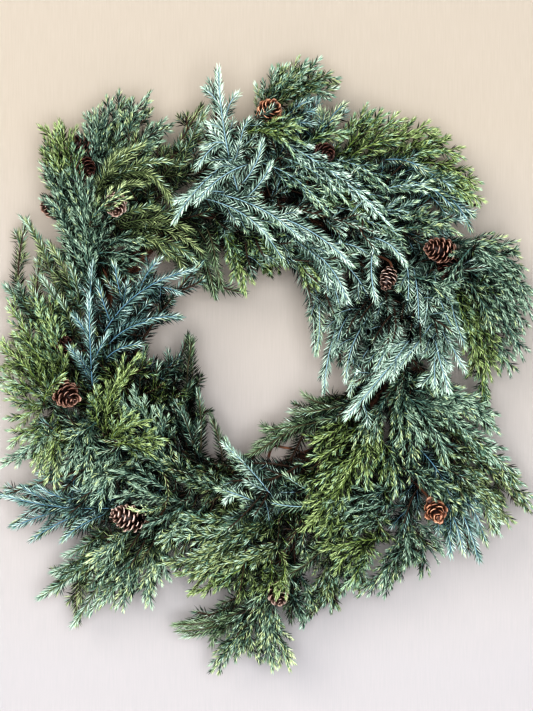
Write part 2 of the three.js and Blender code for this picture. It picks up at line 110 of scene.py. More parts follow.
# Each branch: ring angle and side of its butt, where its stem bends if not by itself, and its tips,
# the stem's first
BRANCHES = {
    "teal_cypress_crown_left": (290, 40, None, [
        (-105, 262, 40), (-166, 243, 30), (-129, 259, 34), (-82, 229, 48), (-193, 135, 40),
        (-200, 97, 35)]),
    "yellow_cypress_crown_left": (276, 0, None, [
        (-199, 234, 22), (-218, 203, 18), (-215, 175, 25), (-183, 151, 32)]),
    "olive_spruce_upper_left": (312, 40, None, [
        (-48, 251, 38), (-109, 208, 44), (-134, 200, 52), (-123, 162, 60), (-78, 160, 62),
        (-67, 205, 46)]),
    "frosted_spruce_crown": (338, 40, None, [
        (-28, 283, 70), (-69, 135, 90), (17, 205, 80), (-42, 216, 84)]),
    "green_cypress_top": (344, 0, None, [
        (73, 298, 30), (37, 294, 36), (98, 279, 28), (19, 254, 50)]),
    "blue_spruce_top": (7, 57, None, [
        (105, 251, 30), (69, 255, 48), (60, 227, 62), (28, 216, 70)]),
    "frosted_cypress_diagonal": (352, 85, None, [
        (147, 111, 86), (120, 181, 74), (93, 127, 92), (60, 184, 88)]),
    "yellow_cypress_arch": (12, 0, None, [
        (251, 146, 34), (244, 175, 30), (231, 200, 28), (217, 220, 26), (179, 235, 28), (139, 246, 30),
        (201, 173, 48)]),
    "grey_spruce_upper_right": (26, 42, None, [
        (212, 127, 60), (246, 137, 44), (174, 138, 70), (217, 164, 50)]),
    "frosted_spruce_inner_right": (334, 100, None, [
        (117, 27, 66), (117, 92, 74), (77, -11, 56), (50, 103, 80)]),
    "yellow_cypress_over_hole": (9, 135, None, [
        (71, 57, 40), (28, 73, 44), (50, 84, 50)]),
    "olive_spruce_over_hole": (324, 145, None, [
        (-33, 51, 36), (-4, 52, 40), (-53, 84, 44)]),
    "frosted_spruce_hole_right": (55, 130, None, [
        (84, -37, 50), (123, -22, 60), (98, 11, 64)]),
    "pale_spruce_sweep_right": (44, 95, (214, 40, 110), [
        (109, -77, 84), (152, -5, 92), (138, -49, 90)]),
    "grey_spruce_drop_right": (58, 65, (222, 70, 95), [
        (212, -52, 70), (230, 5, 70), (185, -13, 76)]),
    "teal_cypress_droop_right": (46, 30, None, [
        (312, 52, 30), (293, 99, 34), (298, 0, 26), (276, 27, 40)]),
    "yellow_cypress_droop_right": (70, 30, (262, 80, 50), [
        (262, -78, 30), (276, -35, 32), (242, -38, 40)]),
    "blue_cypress_right": (82, 65, None, [
        (272, -94, 40), (222, -70, 50), (163, -65, 70), (251, -86, 44)]),
    "green_cypress_lower_right": (93, 27, None, [
        (310, -186, 26), (295, -149, 32), (276, -207, 30), (255, -140, 48)]),
    "frosted_spruce_lower_right": (104, 60, None, [
        (253, -230, 40), (222, -225, 48), (258, -214, 40), (228, -173, 66)]),
    "teal_cypress_lower_right": (110, 10, None, [
        (192, -252, 30), (208, -227, 36), (168, -238, 36), (149, -275, 28)]),
    "yellow_cypress_bottom_right": (115, 90, None, [
        (125, -273, 30), (138, -232, 46), (84, -222, 56), (60, -202, 60)]),
    "dark_cypress_bottom_right": (132, 0, None, [
        (96, -294, 20), (80, -281, 26), (64, -305, 18), (112, -254, 30)]),
    "dark_spruce_hole_bottom": (118, 170, None, [
        (-1, -129, 36), (22, -94, 34), (55, -70, 44)]),
    "yellow_cypress_inner_right": (104, 130, None, [
        (64, -178, 64), (69, -108, 56), (71, -149, 66), (109, -140, 72)]),
    "frosted_spruce_bottom_inner": (143, 105, (10, -190, 95), [
        (-19, -109, 62), (-24, -159, 66), (19, -135, 60)]),
    "green_cypress_bottom_left": (165, 100, None, [
        (-78, -205, 50), (-64, -187, 58), (-35, -225, 52), (-4, -194, 66)]),
    "yellow_cypress_bottom": (154, 65, None, [
        (-58, -275, 30), (-87, -244, 36), (-17, -270, 36), (6, -254, 46)]),
    "dark_spruce_bottom": (143, 30, (56, -280, 26), [
        (-73, -311, 24), (-35, -329, 26), (-13, -294, 34)]),
    "teal_cypress_bottom": (132, 70, (40, -260, 60), [
        (-35, -359, 26), (33, -354, 30), (15, -350, 24), (49, -346, 34)]),
    "blue_spruce_lower_left": (206, 75, None, [
        (-264, -170, 36), (-231, -160, 40), (-251, -200, 30), (-222, -212, 34), (-193, -211, 40)]),
    "green_spruce_lower_left": (192, 36, None, [
        (-220, -278, 20), (-206, -252, 24), (-183, -308, 18), (-172, -270, 26)]),
    "teal_cypress_lower_left": (186, 90, None, [
        (-105, -285, 26), (-143, -289, 24), (-129, -275, 34), (-94, -246, 40)]),
    "teal_cypress_left_low": (220, 45, None, [
        (-260, -133, 26), (-201, -149, 36), (-203, -164, 30), (-222, -124, 34), (-188, -108, 46)]),
    "yellow_cypress_left": (232, 10, None, [
        (-261, -5, 26), (-264, -30, 28), (-255, -54, 34), (-222, 16, 40), (-210, 43, 44)]),
    "green_spruce_left_edge": (252, 0, None, [
        (-259, 58, 18), (-244, 46, 24), (-240, 129, 14), (-222, 97, 20)]),
    "blue_spruce_left": (244, 115, None, [
        (-48, 80, 66), (-102, 81, 72), (-78, 43, 76), (-145, 62, 78), (-172, 54, 70), (-73, 24, 60)]),
    "yellow_cypress_inner_left": (231, 85, None, [
        (-116, -22, 72), (-143, -38, 74), (-161, -59, 76)]),
    "dark_spruce_hole_left": (212, 165, None, [
        (-62, 2, 34), (-39, -78, 34), (-80, -35, 46)]),
    "teal_cypress_inner_lower_left": (198, 120, None, [
        (-150, -108, 70), (-123, -162, 72), (-102, -108, 66), (-156, -151, 62)]),
}

# Each cone twig: ring angle and side of its butt, and its cones as middle, way of the tip, length,
# greatest diameter, tint and how many degrees its scales stand uneven
CONE_TWIGS = {
    "cone_twig_right": (30, 345, [
        ((205, 95, 88), (-0.8, 0.15, 0.55), 40, 29, "brown", 5),
        ((217, 76, 72), (-0.3, -0.6, 0.5), 34, 25, "dark", 5)]),
    "cone_twig_inner_right": (33, 135, [((152, 63, 86), (-0.35, -0.85, 0.45), 30, 20, "pale", 8)]),
    "cone_twig_top_right": (18, 90, [((87, 198, 78), (0.3, -0.3, 0.9), 30, 24, "dark", 8)]),
    "cone_twig_top": (356, 25, [((28, 244, 74), (0.35, 0.35, 0.8), 32, 29, "orange", 10)]),
    "cone_twig_upper_left_edge": (298, 0, [
        ((-179, 211, 44), (-0.5, 0.4, 0.7), 32, 24, "dark", 6),
        ((-170, 184, 50), (0.4, -0.5, 0.7), 30, 23, "dark", 6)]),
    "cone_twig_left_edge": (283, 90, [((-210, 143, 46), (-0.6, 0.2, 0.75), 30, 23, "pale", 14)]),
    "cone_twig_upper_left": (304, 85, [((-137, 143, 72), (0.1, -0.6, 0.8), 34, 28, "pale", 12)]),
    "cone_twig_left_small": (265, 40, [((-192, -5, 58), (0.2, 0.6, 0.7), 26, 19, "dark", 6)]),
    "cone_twig_left": (243, 45, [((-188, -59, 74), (0.55, -0.45, 0.7), 36, 31, "brown", 12)]),
    "cone_twig_inner_left": (228, 140, [((-108, -47, 32), (0.3, 0.85, 0.4), 28, 20, "dark", 6)]),
    "cone_twig_lower_left": (203, 0, [((-125, -188, 84), (-0.85, 0.25, 0.45), 41, 31, "pale", 6)]),
    "cone_twig_lower_right": (121, 40, [((204, -183, 80), (0.1, -0.45, 0.85), 32, 28, "orange", 26)]),
    "cone_twig_bottom": (154, 0, [((37, -274, 62), (0.2, -0.6, 0.75), 30, 26, "pale", 8)]),
}

# The strands that only the looks have: how much paler than its kind each branch is, and for each
# strand the across and up of its start and of its tip, how far it bows to the left of its way, how
# far to the front its tip lies and how many percent of its needles have the second colour
STRANDS = {
    "teal_cypress_crown_left": (-0.06, [
        (-162, 171, -103, 265, 5, 48, 15), (-158, 175, -81, 232, 6, 44, 5),
        (-163, 184, -168, 242, -3, 44, 10), (-160, 189, -158, 248, 0, 46, 15),
        (-156, 205, -143, 258, 2, 44, 20), (-147, 211, -132, 259, 2, 42, 20),
        (-143, 216, -111, 245, 3, 40, 0), (-150, 181, -91, 214, 4, 40, 0),
        (-156, 173, -103, 205, 4, 42, 10), (-164, 175, -173, 228, -3, 42, 10),
        (-190, 135, -217, 188, -3, 57, 15), (-186, 124, -207, 181, -3, 52, 10),
        (-179, 117, -194, 181, -3, 54, 10), (-173, 113, -181, 179, -2, 56, 10),
        (-168, 110, -168, 171, 0, 56, 5), (-192, 117, -209, 150, -4, 58, 5),
        (-184, 99, -207, 146, -4, 46, 5), (-177, 84, -199, 127, -4, 50, 0),
        (-166, 84, -177, 138, -2, 58, 0), (-160, 84, -158, 146, 2, 56, 5),
        (-171, 59, -194, 108, -4, 48, 0), (-166, 54, -175, 110, -2, 56, 0),
        (-161, 108, -129, 143, 4, 58, 0), (-162, 126, -126, 154, 3, 98, 40),
        (-168, 103, -110, 102, 5, 60, 5), (-164, 92, -109, 82, 6, 60, 0),
        (-161, 84, -117, 63, 5, 56, 0)]),
    "yellow_cypress_crown_left": (-0.05, [
        (-197, 181, -212, 227, -2, 50, 10), (-192, 181, -199, 233, 0, 50, 0),
        (-186, 179, -188, 222, 2, 50, 0), (-201, 171, -216, 205, -2, 46, 30),
        (-183, 167, -177, 203, 2, 52, 20), (-194, 157, -203, 194, -2, 52, 30)]),
    "olive_spruce_upper_left": (-0.02, [
        (-74, 164, -40, 248, 4, 50, 60), (-91, 173, -63, 195, 3, 44, 10),
        (-160, 156, -109, 208, 8, 66, 10), (-158, 160, -133, 201, 4, 62, 0),
        (-153, 156, -119, 197, 6, 64, 0), (-150, 166, -82, 191, 8, 60, 10),
        (-143, 173, -77, 145, 20, 64, 0), (-134, 171, -84, 157, 14, 62, 0),
        (-147, 151, -112, 167, 5, 64, 0), (-136, 127, -98, 141, 4, 70, 0),
        (-134, 123, -58, 117, 8, 70, 0), (-130, 119, -49, 97, 10, 70, 0),
        (-125, 112, -52, 84, 8, 66, 10), (-134, 110, -80, 92, 8, 64, 20),
        (-112, 127, -75, 135, 4, 64, 10), (-102, 108, -63, 70, 8, 56, 20)]),
    "frosted_spruce_crown": (0.03, [
        (-6, 156, -27, 283, 4, 84, 0), (-4, 197, -72, 127, -6, 92, 10), (4, 186, -48, 146, -5, 94, 10),
        (-9, 205, -41, 205, -4, 84, 20), (-13, 216, -48, 184, -4, 86, 10),
        (-2, 166, 19, 207, -4, 90, 10), (2, 151, 28, 184, -3, 88, 0), (-4, 205, 4, 232, 2, 78, 10),
        (-19, 238, -9, 259, 2, 74, 0), (-24, 243, -39, 265, -2, 74, 0),
        (-17, 216, -35, 229, -2, 78, 0), (-21, 157, -69, 146, -4, 90, 0)]),
    "green_cypress_top": (0, [
        (19, 246, 36, 294, 0, 36, 55), (24, 254, 68, 299, 5, 36, 45), (33, 259, 80, 295, 6, 36, 55),
        (28, 251, 99, 284, 10, 38, 35), (44, 261, 94, 266, 8, 34, 95), (15, 240, 19, 268, -2, 36, 55),
        (50, 254, 84, 281, 4, 34, 65)]),
    "blue_spruce_top": (0, [
        (44, 240, 70, 258, 2, 48, 10), (46, 235, 76, 246, 3, 50, 10), (48, 230, 72, 233, 2, 50, 10),
        (80, 216, 106, 252, 3, 50, 90), (78, 214, 99, 238, 3, 52, 90)]),
    "frosted_cypress_diagonal": (-0.05, [
        (28, 216, 154, 121, 8, 90, 5), (42, 194, 109, 146, 6, 84, 75), (19, 189, 87, 135, 8, 80, 95),
        (104, 171, 149, 136, 5, 82, 75), (141, 157, 201, 160, 6, 76, 55),
        (136, 135, 188, 130, 5, 78, 55), (114, 127, 168, 108, 6, 76, 85),
        (120, 112, 171, 84, 6, 74, 95), (93, 194, 152, 162, 6, 74, 95)]),
    "yellow_cypress_arch": (0, [
        (4, 221, 60, 208, 5, 96, 22), (6, 228, 52, 196, 8, 88, 42), (16, 226, 62, 222, 3, 96, 12),
        (60, 205, 108, 222, 5, 66, 62), (98, 205, 137, 246, 3, 50, 52),
        (109, 203, 153, 243, 4, 50, 52), (120, 205, 171, 237, 4, 50, 32),
        (109, 194, 168, 216, 5, 54, 32), (136, 203, 204, 227, 5, 50, 12),
        (152, 194, 218, 216, 6, 48, 12), (158, 184, 203, 203, 5, 54, 32),
        (174, 200, 235, 197, 8, 46, 12), (181, 192, 247, 165, 10, 46, 12),
        (195, 184, 252, 147, 8, 44, 12), (185, 178, 240, 151, 8, 50, 22),
        (82, 194, 138, 173, 8, 64, 22), (77, 167, 97, 143, 3, 66, 32), (93, 162, 130, 123, 5, 72, 32)]),
    "grey_spruce_upper_right": (-0.06, [
        (152, 194, 192, 181, 4, 66, 45), (163, 186, 220, 164, 6, 62, 45),
        (168, 173, 225, 140, 7, 60, 55), (179, 178, 242, 121, 10, 56, 35),
        (190, 162, 218, 127, 4, 60, 45), (201, 157, 244, 135, 5, 52, 35)]),
    "frosted_spruce_inner_right": (0.0, [
        (-35, 157, 60, 108, 8, 82, 0), (-42, 151, 26, 110, 6, 78, 20), (-15, 145, 42, 84, 5, 74, 30),
        (19, 136, 111, 82, 8, 82, 0), (44, 113, 117, 19, 12, 76, 0), (60, 103, 109, 43, 8, 78, 0),
        (66, 84, 78, -11, 8, 58, 60), (82, 76, 102, 24, 6, 70, 0), (93, 103, 139, 84, 6, 78, 10),
        (109, 81, 138, 11, 8, 66, 20)]),
    "yellow_cypress_over_hole": (-0.02, [
        (50, 108, 72, 56, 4, 60, 0), (19, 113, 46, 82, 4, 58, 20), (-13, 117, 1, 51, 3, 52, 20),
        (-17, 124, -6, 65, 2, 52, 20), (-4, 117, 19, 78, 4, 56, 30), (6, 113, 33, 84, 4, 56, 30),
        (-31, 130, -13, 84, 3, 54, 50)]),
    "olive_spruce_over_hole": (0, [
        (-63, 127, -32, 50, 4, 48, 10), (-53, 124, -25, 59, 4, 48, 0), (-42, 124, -31, 84, 2, 52, 10),
        (-78, 124, -42, 84, 4, 56, 0), (-91, 97, -42, 59, 6, 46, 0)]),
    "frosted_spruce_hole_right": (-0.03, [
        (114, 45, 86, -52, -6, 64, 0), (117, 32, 98, -11, -4, 66, 0), (134, 24, 109, -41, -6, 66, 10),
        (138, -5, 114, -56, -4, 60, 30), (138, 108, 168, 82, 4, 98, 0), (136, 92, 139, 42, -3, 100, 0)]),
    "pale_spruce_sweep_right": (0.04, [
        (194, 26, 110, -80, 2, 98, 0), (188, 11, 131, -56, 0, 96, 0), (168, 16, 138, -35, -2, 90, 10),
        (201, 19, 163, -30, 0, 94, 0)]),
    "grey_spruce_drop_right": (0.0, [
        (181, 76, 184, 5, 2, 86, 0), (195, 70, 190, 11, 2, 86, 0), (201, 22, 217, -52, -3, 84, 20),
        (206, 11, 203, -52, -2, 80, 30), (212, 24, 233, -30, -3, 80, 20),
        (203, 73, 222, 11, -4, 82, 20), (174, 81, 171, 24, 2, 84, 10), (220, 59, 235, -5, -4, 74, 30)]),
    "teal_cypress_droop_right": (-0.08, [
        (228, 106, 292, 95, 5, 50, 0), (235, 99, 310, 39, 10, 46, 0), (244, 103, 300, 70, 7, 46, 0),
        (239, 89, 289, 43, 8, 50, 0), (233, 81, 282, 22, 8, 52, 10), (249, 70, 301, 11, 8, 44, 0),
        (244, 54, 300, -18, 8, 42, 10), (239, 43, 287, -36, 8, 44, 10), (228, 76, 266, 11, 6, 56, 20),
        (220, 108, 268, 84, 5, 58, 0), (255, 84, 312, 24, 8, 40, 0), (242, 98, 212, 54, -3, 98, 0),
        (180, 66, 216, 48, 3, 96, 10), (166, 130, 226, 112, 5, 92, 10),
        (172, 118, 200, 112, 3, 96, 10)]),
    "yellow_cypress_droop_right": (0.02, [
        (244, 43, 251, -30, -3, 54, 0), (253, 38, 266, -41, -4, 50, 0),
        (261, -16, 261, -82, -3, 40, 70), (235, 54, 246, 0, -3, 58, 10),
        (260, 32, 276, -22, -4, 46, 20), (228, 59, 239, 11, -2, 60, 30)]),
    "blue_cypress_right": (0, [
        (179, -54, 272, -99, 10, 56, 0), (181, -50, 266, -86, 10, 54, 0),
        (174, -45, 220, -56, 6, 60, 0), (177, -63, 244, -108, 8, 60, 10),
        (166, -49, 190, -108, -3, 70, 10), (174, -59, 218, -132, 6, 66, 10),
        (163, -56, 168, -108, 0, 70, 20), (152, -63, 138, -108, -3, 68, 20),
        (141, -76, 117, -114, -3, 68, 40), (185, -65, 228, -81, 5, 58, 0)]),
    "green_cypress_lower_right": (0, [
        (212, -108, 310, -180, 8, 50, 25), (217, -99, 294, -151, 8, 50, 55),
        (212, -119, 284, -199, 8, 50, 25), (210, -124, 275, -208, 6, 50, 35),
        (201, -86, 271, -132, 8, 54, 75), (222, -140, 266, -184, 4, 52, 35),
        (195, -108, 244, -173, 5, 58, 55)]),
    "frosted_spruce_lower_right": (0, [
        (199, -130, 251, -234, 6, 62, 10), (203, -151, 235, -225, 4, 60, 10),
        (214, -140, 259, -216, 6, 58, 20), (207, -173, 222, -229, 3, 56, 20),
        (190, -119, 222, -173, 4, 66, 30)]),
    "teal_cypress_lower_right": (-0.06, [
        (186, -205, 125, -275, 4, 46, 40), (195, -216, 192, -253, 0, 40, 20),
        (181, -194, 213, -229, 3, 50, 0), (168, -216, 152, -266, 0, 42, 30),
        (174, -179, 100, -188, -4, 66, 0), (168, -162, 91, -179, -4, 68, 0),
        (163, -194, 114, -203, -4, 60, 0), (174, -78, 187, -153, -2, 70, 30),
        (160, -97, 163, -162, -2, 70, 20), (166, -194, 179, -238, 2, 50, 20),
        (172, -138, 206, -164, 3, 94, 10), (184, -140, 222, -176, 4, 96, 20)]),
    "yellow_cypress_bottom_right": (-0.03, [
        (152, -216, 87, -226, -4, 58, 0), (147, -211, 97, -244, -3, 54, 10),
        (141, -221, 114, -265, -2, 50, 40), (136, -194, 84, -205, -4, 60, 20)]),
    "dark_cypress_bottom_right": (-0.05, [
        (104, -221, 94, -292, -2, 38, 50), (95, -227, 84, -279, -2, 38, 50),
        (109, -232, 109, -272, 0, 38, 50), (80, -265, 65, -309, -2, 34, 90),
        (114, -211, 125, -259, 2, 42, 60)]),
    "dark_spruce_hole_bottom": (0.06, [
        (138, -58, 53, -77, 6, 54, 0), (109, -80, 24, -97, 3, 50, 0), (98, -66, 0, -127, 2, 50, 0),
        (92, -62, 14, -112, 1, 46, 0), (93, -69, 66, -60, 3, 52, 0), (120, -76, 84, -86, 3, 56, 20)]),
    "yellow_cypress_inner_right": (-0.08, [
        (131, -84, 69, -132, 4, 68, 0), (120, -78, 73, -111, 3, 66, 0),
        (123, -113, 71, -158, 3, 70, 0), (125, -124, 64, -202, 4, 72, 0),
        (117, -140, 71, -179, 3, 70, 0), (138, -90, 130, -156, -2, 72, 20),
        (131, -97, 104, -153, 2, 72, 10), (147, -92, 152, -151, -2, 70, 20),
        (109, -151, 80, -207, 3, 64, 20)]),
    "frosted_spruce_bottom_inner": (0.0, [
        (35, -175, -19, -113, -3, 78, 20), (28, -184, -24, -160, -3, 72, 50),
        (84, -166, 46, -146, 3, 64, 95), (78, -179, 24, -173, 2, 68, 90),
        (60, -164, 6, -156, 3, 60, 95)]),
    "green_cypress_bottom_left": (0.03, [
        (19, -186, -62, -192, 4, 66, 25), (26, -197, -80, -208, 6, 66, 25),
        (19, -207, -91, -241, 6, 60, 35), (26, -216, -58, -251, 5, 56, 25),
        (39, -194, -31, -200, 5, 70, 45), (6, -211, -48, -225, 4, 64, 25),
        (50, -211, -15, -238, 5, 62, 35)]),
    "yellow_cypress_bottom": (-0.02, [
        (12, -232, -56, -275, 4, 46, 0), (19, -238, -6, -272, 2, 44, 20),
        (-4, -227, -69, -254, 3, 50, 10), (44, -238, 6, -276, 3, 46, 30),
        (33, -221, -31, -259, 4, 52, 10), (44, -240, 36, -272, 2, 82, 10),
        (30, -240, 24, -270, 2, 80, 20)]),
    "dark_spruce_bottom": (0.06, [
        (8, -297, -68, -316, 4, 36, 10), (12, -294, -72, -309, 4, 34, 10),
        (1, -302, -62, -322, 2, 32, 20), (19, -281, -21, -300, 3, 38, 20),
        (60, -270, 12, -286, 3, 42, 10), (93, -216, 44, -254, 4, 54, 20),
        (82, -238, 28, -248, 4, 52, 20)]),
    "teal_cypress_bottom": (-0.06, [
        (19, -292, 48, -354, 3, 44, 60), (15, -294, 30, -355, 2, 42, 50),
        (12, -292, 1, -335, 0, 42, 30), (6, -302, -32, -356, 0, 38, 30),
        (1, -308, -15, -340, 0, 38, 30), (44, -270, 65, -300, 3, 44, 0),
        (39, -265, 6, -281, 0, 50, 10), (60, -254, 71, -286, 2, 44, 20),
        (28, -281, 26, -324, 0, 46, 40)]),
    "blue_spruce_lower_left": (-0.08, [
        (-123, -181, -264, -166, 7, 52, 0), (-188, -181, -238, -160, 2, 48, 0),
        (-161, -181, -220, -160, 2, 50, 0), (-199, -186, -246, -201, -2, 46, 0),
        (-168, -186, -227, -214, -3, 48, 10), (-150, -189, -194, -214, -3, 50, 20),
        (-139, -173, -179, -162, 2, 54, 10)]),
    "green_spruce_lower_left": (0.04, [
        (-139, -211, -220, -278, 4, 40, 55), (-143, -227, -184, -307, 4, 38, 55),
        (-136, -238, -167, -295, 3, 38, 55), (-156, -221, -205, -251, 3, 40, 75),
        (-150, -205, -191, -232, 3, 44, 85)]),
    "teal_cypress_lower_left": (0.06, [
        (-118, -216, -154, -287, 4, 44, 30), (-110, -221, -137, -288, 3, 42, 30),
        (-102, -221, -106, -285, 2, 40, 20), (-96, -205, -97, -254, 0, 46, 20),
        (-129, -216, -156, -254, 3, 50, 10), (-91, -216, -85, -254, 0, 42, 20),
        (-123, -205, -166, -238, 3, 54, 20)]),
    "teal_cypress_left_low": (0.05, [
        (-199, -81, -260, -136, 4, 44, 0), (-192, -86, -205, -160, -3, 46, 60),
        (-201, -92, -226, -140, 2, 42, 50), (-175, -84, -192, -145, 2, 52, 20),
        (-164, -92, -172, -151, 0, 56, 20), (-145, -108, -173, -170, 3, 60, 0),
        (-134, -119, -161, -173, 3, 62, 0), (-156, -86, -199, -108, 3, 54, 20)]),
    "yellow_cypress_left": (0.06, [
        (-212, -56, -255, 41, -4, 40, 32), (-216, -56, -264, -5, -3, 38, 32),
        (-218, -65, -264, -41, -3, 38, 32), (-207, -49, -224, 40, -3, 46, 32),
        (-201, -43, -210, 24, -2, 52, 32), (-220, -73, -255, -65, -2, 38, 42),
        (-210, -65, -248, -86, 2, 40, 42), (-204, -78, -251, -108, 3, 38, 52),
        (-197, -49, -186, -11, 2, 66, 22), (-207, -76, -228, -132, 2, 46, 22),
        (-201, -78, -212, -140, 2, 50, 22), (-215, -38, -240, 5, -3, 42, 22),
        (-199, -35, -201, 11, 0, 56, 42), (-212, -66, -191, -38, 3, 98, 22)]),
    "green_spruce_left_edge": (0.05, [
        (-197, 54, -241, 131, -5, 32, 50), (-204, 50, -234, 126, -4, 40, 40),
        (-186, 43, -210, 102, -4, 44, 60), (-220, 11, -258, 56, -3, 34, 60),
        (-215, 11, -231, 54, -2, 38, 50), (-199, 22, -218, 65, -3, 42, 60),
        (-186, 5, -197, 43, -2, 50, 40), (-177, 22, -188, 84, -3, 54, 60)]),
    "blue_spruce_left": (-0.09, [
        (-149, 9, -56, 73, 12, 84, 0), (-162, -49, -164, 43, 0, 84, 0), (-143, 19, -154, 57, 0, 84, 0),
        (-129, 35, -137, 78, 0, 82, 0), (-112, 52, -91, 84, 2, 80, 0), (-102, 56, -71, 51, 2, 78, 0),
        (-139, 11, -71, 24, 4, 76, 20), (-145, -5, -102, 19, 4, 78, 0),
        (-150, -22, -112, -5, 4, 76, 20), (-164, -5, -179, 24, -2, 82, 0),
        (-163, -27, -145, 5, 0, 80, 0), (-166, -43, -183, -11, -2, 80, 0),
        (-164, 32, -161, 78, 0, 80, 0)]),
    "yellow_cypress_inner_left": (0.03, [
        (-151, -99, -114, -18, 6, 80, 0), (-147, -97, -134, -43, 4, 82, 0),
        (-143, -108, -119, -77, 3, 80, 0), (-138, -114, -86, -106, 5, 78, 10),
        (-143, -108, -102, -86, 5, 80, 0), (-156, -92, -158, -54, 0, 80, 10),
        (-129, -113, -96, -124, 4, 76, 20)]),
    "dark_spruce_hole_left": (-0.2, [
        (-62, -60, -56, -3, 2, 46, 0), (-96, -72, -92, -28, 2, 60, 40),
        (-112, -60, -106, -12, 2, 62, 50), (-57, -65, -60, 1, -2, 42, 0),
        (-48, -124, -50, -57, -2, 40, 10), (-24, -132, -35, -86, -2, 38, 0),
        (-53, -125, -73, -67, -3, 56, 80), (-85, -59, -82, -16, -2, 50, 50),
        (-102, -65, -73, -27, 3, 56, 60), (-69, -86, -58, -49, 2, 46, 20)]),
    "teal_cypress_inner_lower_left": (0.02, [
        (-96, -112, -118, -58, -4, 68, 20), (-88, -124, -92, -72, -3, 66, 20),
        (-104, -102, -134, -64, -4, 70, 10), (-85, -146, -123, -108, -4, 72, 10),
        (-75, -151, -102, -99, -3, 68, 20), (-80, -162, -139, -140, -4, 74, 0),
        (-69, -173, -134, -167, -4, 74, 0), (-64, -178, -112, -200, 3, 70, 10),
        (-48, -162, -85, -124, -3, 66, 30), (-31, -167, -64, -140, -3, 62, 20),
        (-42, -178, -91, -216, 3, 66, 20), (-15, -173, -48, -146, -3, 58, 30),
        (-86, -176, -116, -178, 3, 106, 60)]),
}

# The outline of the wreath and the edge of its hole, across and up, both clockwise. A side shoot that
# would end in the hole is left out, and one that would end past the outline has only the stray share
# of its length. The twigs of the strands are left as they are.
OUTLINE = np.array([
    (-21, 251), (1, 227), (19, 251), (50, 272), (82, 268), (80, 235), (109, 235), (152, 233),
    (201, 216), (228, 189), (244, 151), (244, 113), (287, 92), (303, 43), (293, -11), (276, -27),
    (264, -11), (231, -5), (222, -43), (192, -49), (222, -65), (266, -92), (260, -121), (293, -157),
    (298, -178), (271, -194), (255, -216), (239, -221), (212, -211), (190, -235), (158, -229),
    (131, -257), (106, -248), (98, -279), (63, -279), (60, -297), (33, -324), (23, -340),
    (-17, -337), (-9, -302), (-58, -308), (-42, -289), (-4, -270), (-48, -265), (-58, -243),
    (-91, -229), (-102, -270), (-150, -279), (-177, -286), (-183, -270), (-210, -270), (-183, -238),
    (-177, -216), (-220, -205), (-253, -189), (-258, -167), (-215, -162), (-199, -151),
    (-207, -135), (-242, -124), (-240, -108), (-231, -86), (-253, -59), (-258, -32), (-253, 0),
    (-247, 30), (-226, 35), (-204, 54), (-229, 106), (-212, 103), (-199, 95), (-204, 121),
    (-214, 149), (-217, 189), (-212, 220), (-192, 229), (-179, 211), (-166, 232), (-145, 251),
    (-112, 259), (-102, 248), (-91, 227), (-102, 205), (-82, 192), (-75, 175), (-58, 214),
    (-48, 235), (-32, 233),
], float)
HOLE_EDGE = np.array([
    (-118, -10), (-110, 28), (-62, 54), (-37, 62), (-26, 84), (-8, 80), (10, 62), (36, 74),
    (68, 68), (84, 52), (74, 0), (92, 8), (90, -36), (80, -56), (62, -98), (72, -126), (40, -134),
    (6, -134), (-18, -114), (-40, -86), (-48, -54), (-54, -8), (-75, -14),
], float)
STRAY_SHARE = 0.5

# A strand starts this far behind its tip and arches this far to the front. A link joins it to the
# stem, clear of the stem's ends. It bends into the strand's line at a share of its reach before the
# strand, and its own first share is bare.
STRAND_DIP = 16
STRAND_ARCH = 7
TIP_POINTS = 4
LINK_SHARE = 0.4
LINK_POINTS = 5
LINK_CLEAR = 2
LINK_BARE = 0.2

# How the stem, its plain shoots and the strands of each form divide. Side shoots leave alternately
# every so many millimetres, between two shares of the way, with lengths from the first share to the
# last and at an angle in degrees.
FORKS = {
    "spruce": dict(
        stem=dict(every=24, first=0.1, last=0.92, lengths=(46, 26), angle=42),
        shoot=dict(every=24, first=0.2, last=0.8, lengths=(30, 18), angle=42),
        strand=dict(every=22, first=0.08, last=0.6, lengths=(26, 16), angle=38),
    ),
    "cypress": dict(
        stem=dict(every=22, first=0.08, last=0.93, lengths=(46, 26), angle=36),
        shoot=dict(every=12, first=0.15, last=0.9, lengths=(28, 14), angle=36),
        strand=dict(every=8, first=0.08, last=0.9, lengths=(28, 12), angle=31),
    ),
}

# Side shoots: tilt of their plane, spread of their angle and mean and spread of their lift in
# degrees, range of their length, how far they swing to the way of their parent, where they bend, how
# much smaller they are, how much younger at the parent's tip, and their points
FORK_TILT = 0.16
FORK_SPREAD = 5
FORK_LIFT = (8, 12)
FORK_LENGTHS = (0.75, 1.15)
FORK_SWING = 0.35
FORK_BEND = 0.5
FORK_SIZE = 0.92
FORK_AGE = 0.35
FORK_POINTS = {"stem": 6, "shoot": 3, "strand": 3}

# Short shoots near the butt, which cover the ring with older foliage, darkened further as painted shade
# for the deep place under the strands that they fill
FILL_SHOOTS = 8
FILL_ALONG = (0.04, 0.6)
FILL_LENGTHS = (50, 85)
FILL_TURN = (35, 75)
FILL_LIFT = (-15, 25)
FILL_SWING = 0.3
FILL_POINTS = 6
FILL_AGE_AND_SHADE = -1.6
FILL_SECOND = 0.2

# Ages, old and dark below nought and young and pale above it, how single shoots differ, by how much
# at most to the dark side, and the share of needles of the second colour on the plain shoots. The dark
# ages of the stem and its plain shoots are partly painted shade, for the deep layer under the strands.
STEM_AGE_AND_SHADE = -0.4
SHOOT_AGE_AND_SHADE = -0.15
STRAND_AGE = 0.3
AGE_SPREAD = 0.32
DARKEST = -0.25
PLAIN_SECOND = 0.15
SECOND_SPREAD = 0.12

# How far the upper side of a branch, of its shoots and of its strands tilts away from the front
BRANCH_TILT = 0.22
SHOOT_TILT = 0.2
STRAND_TILT = 0.25

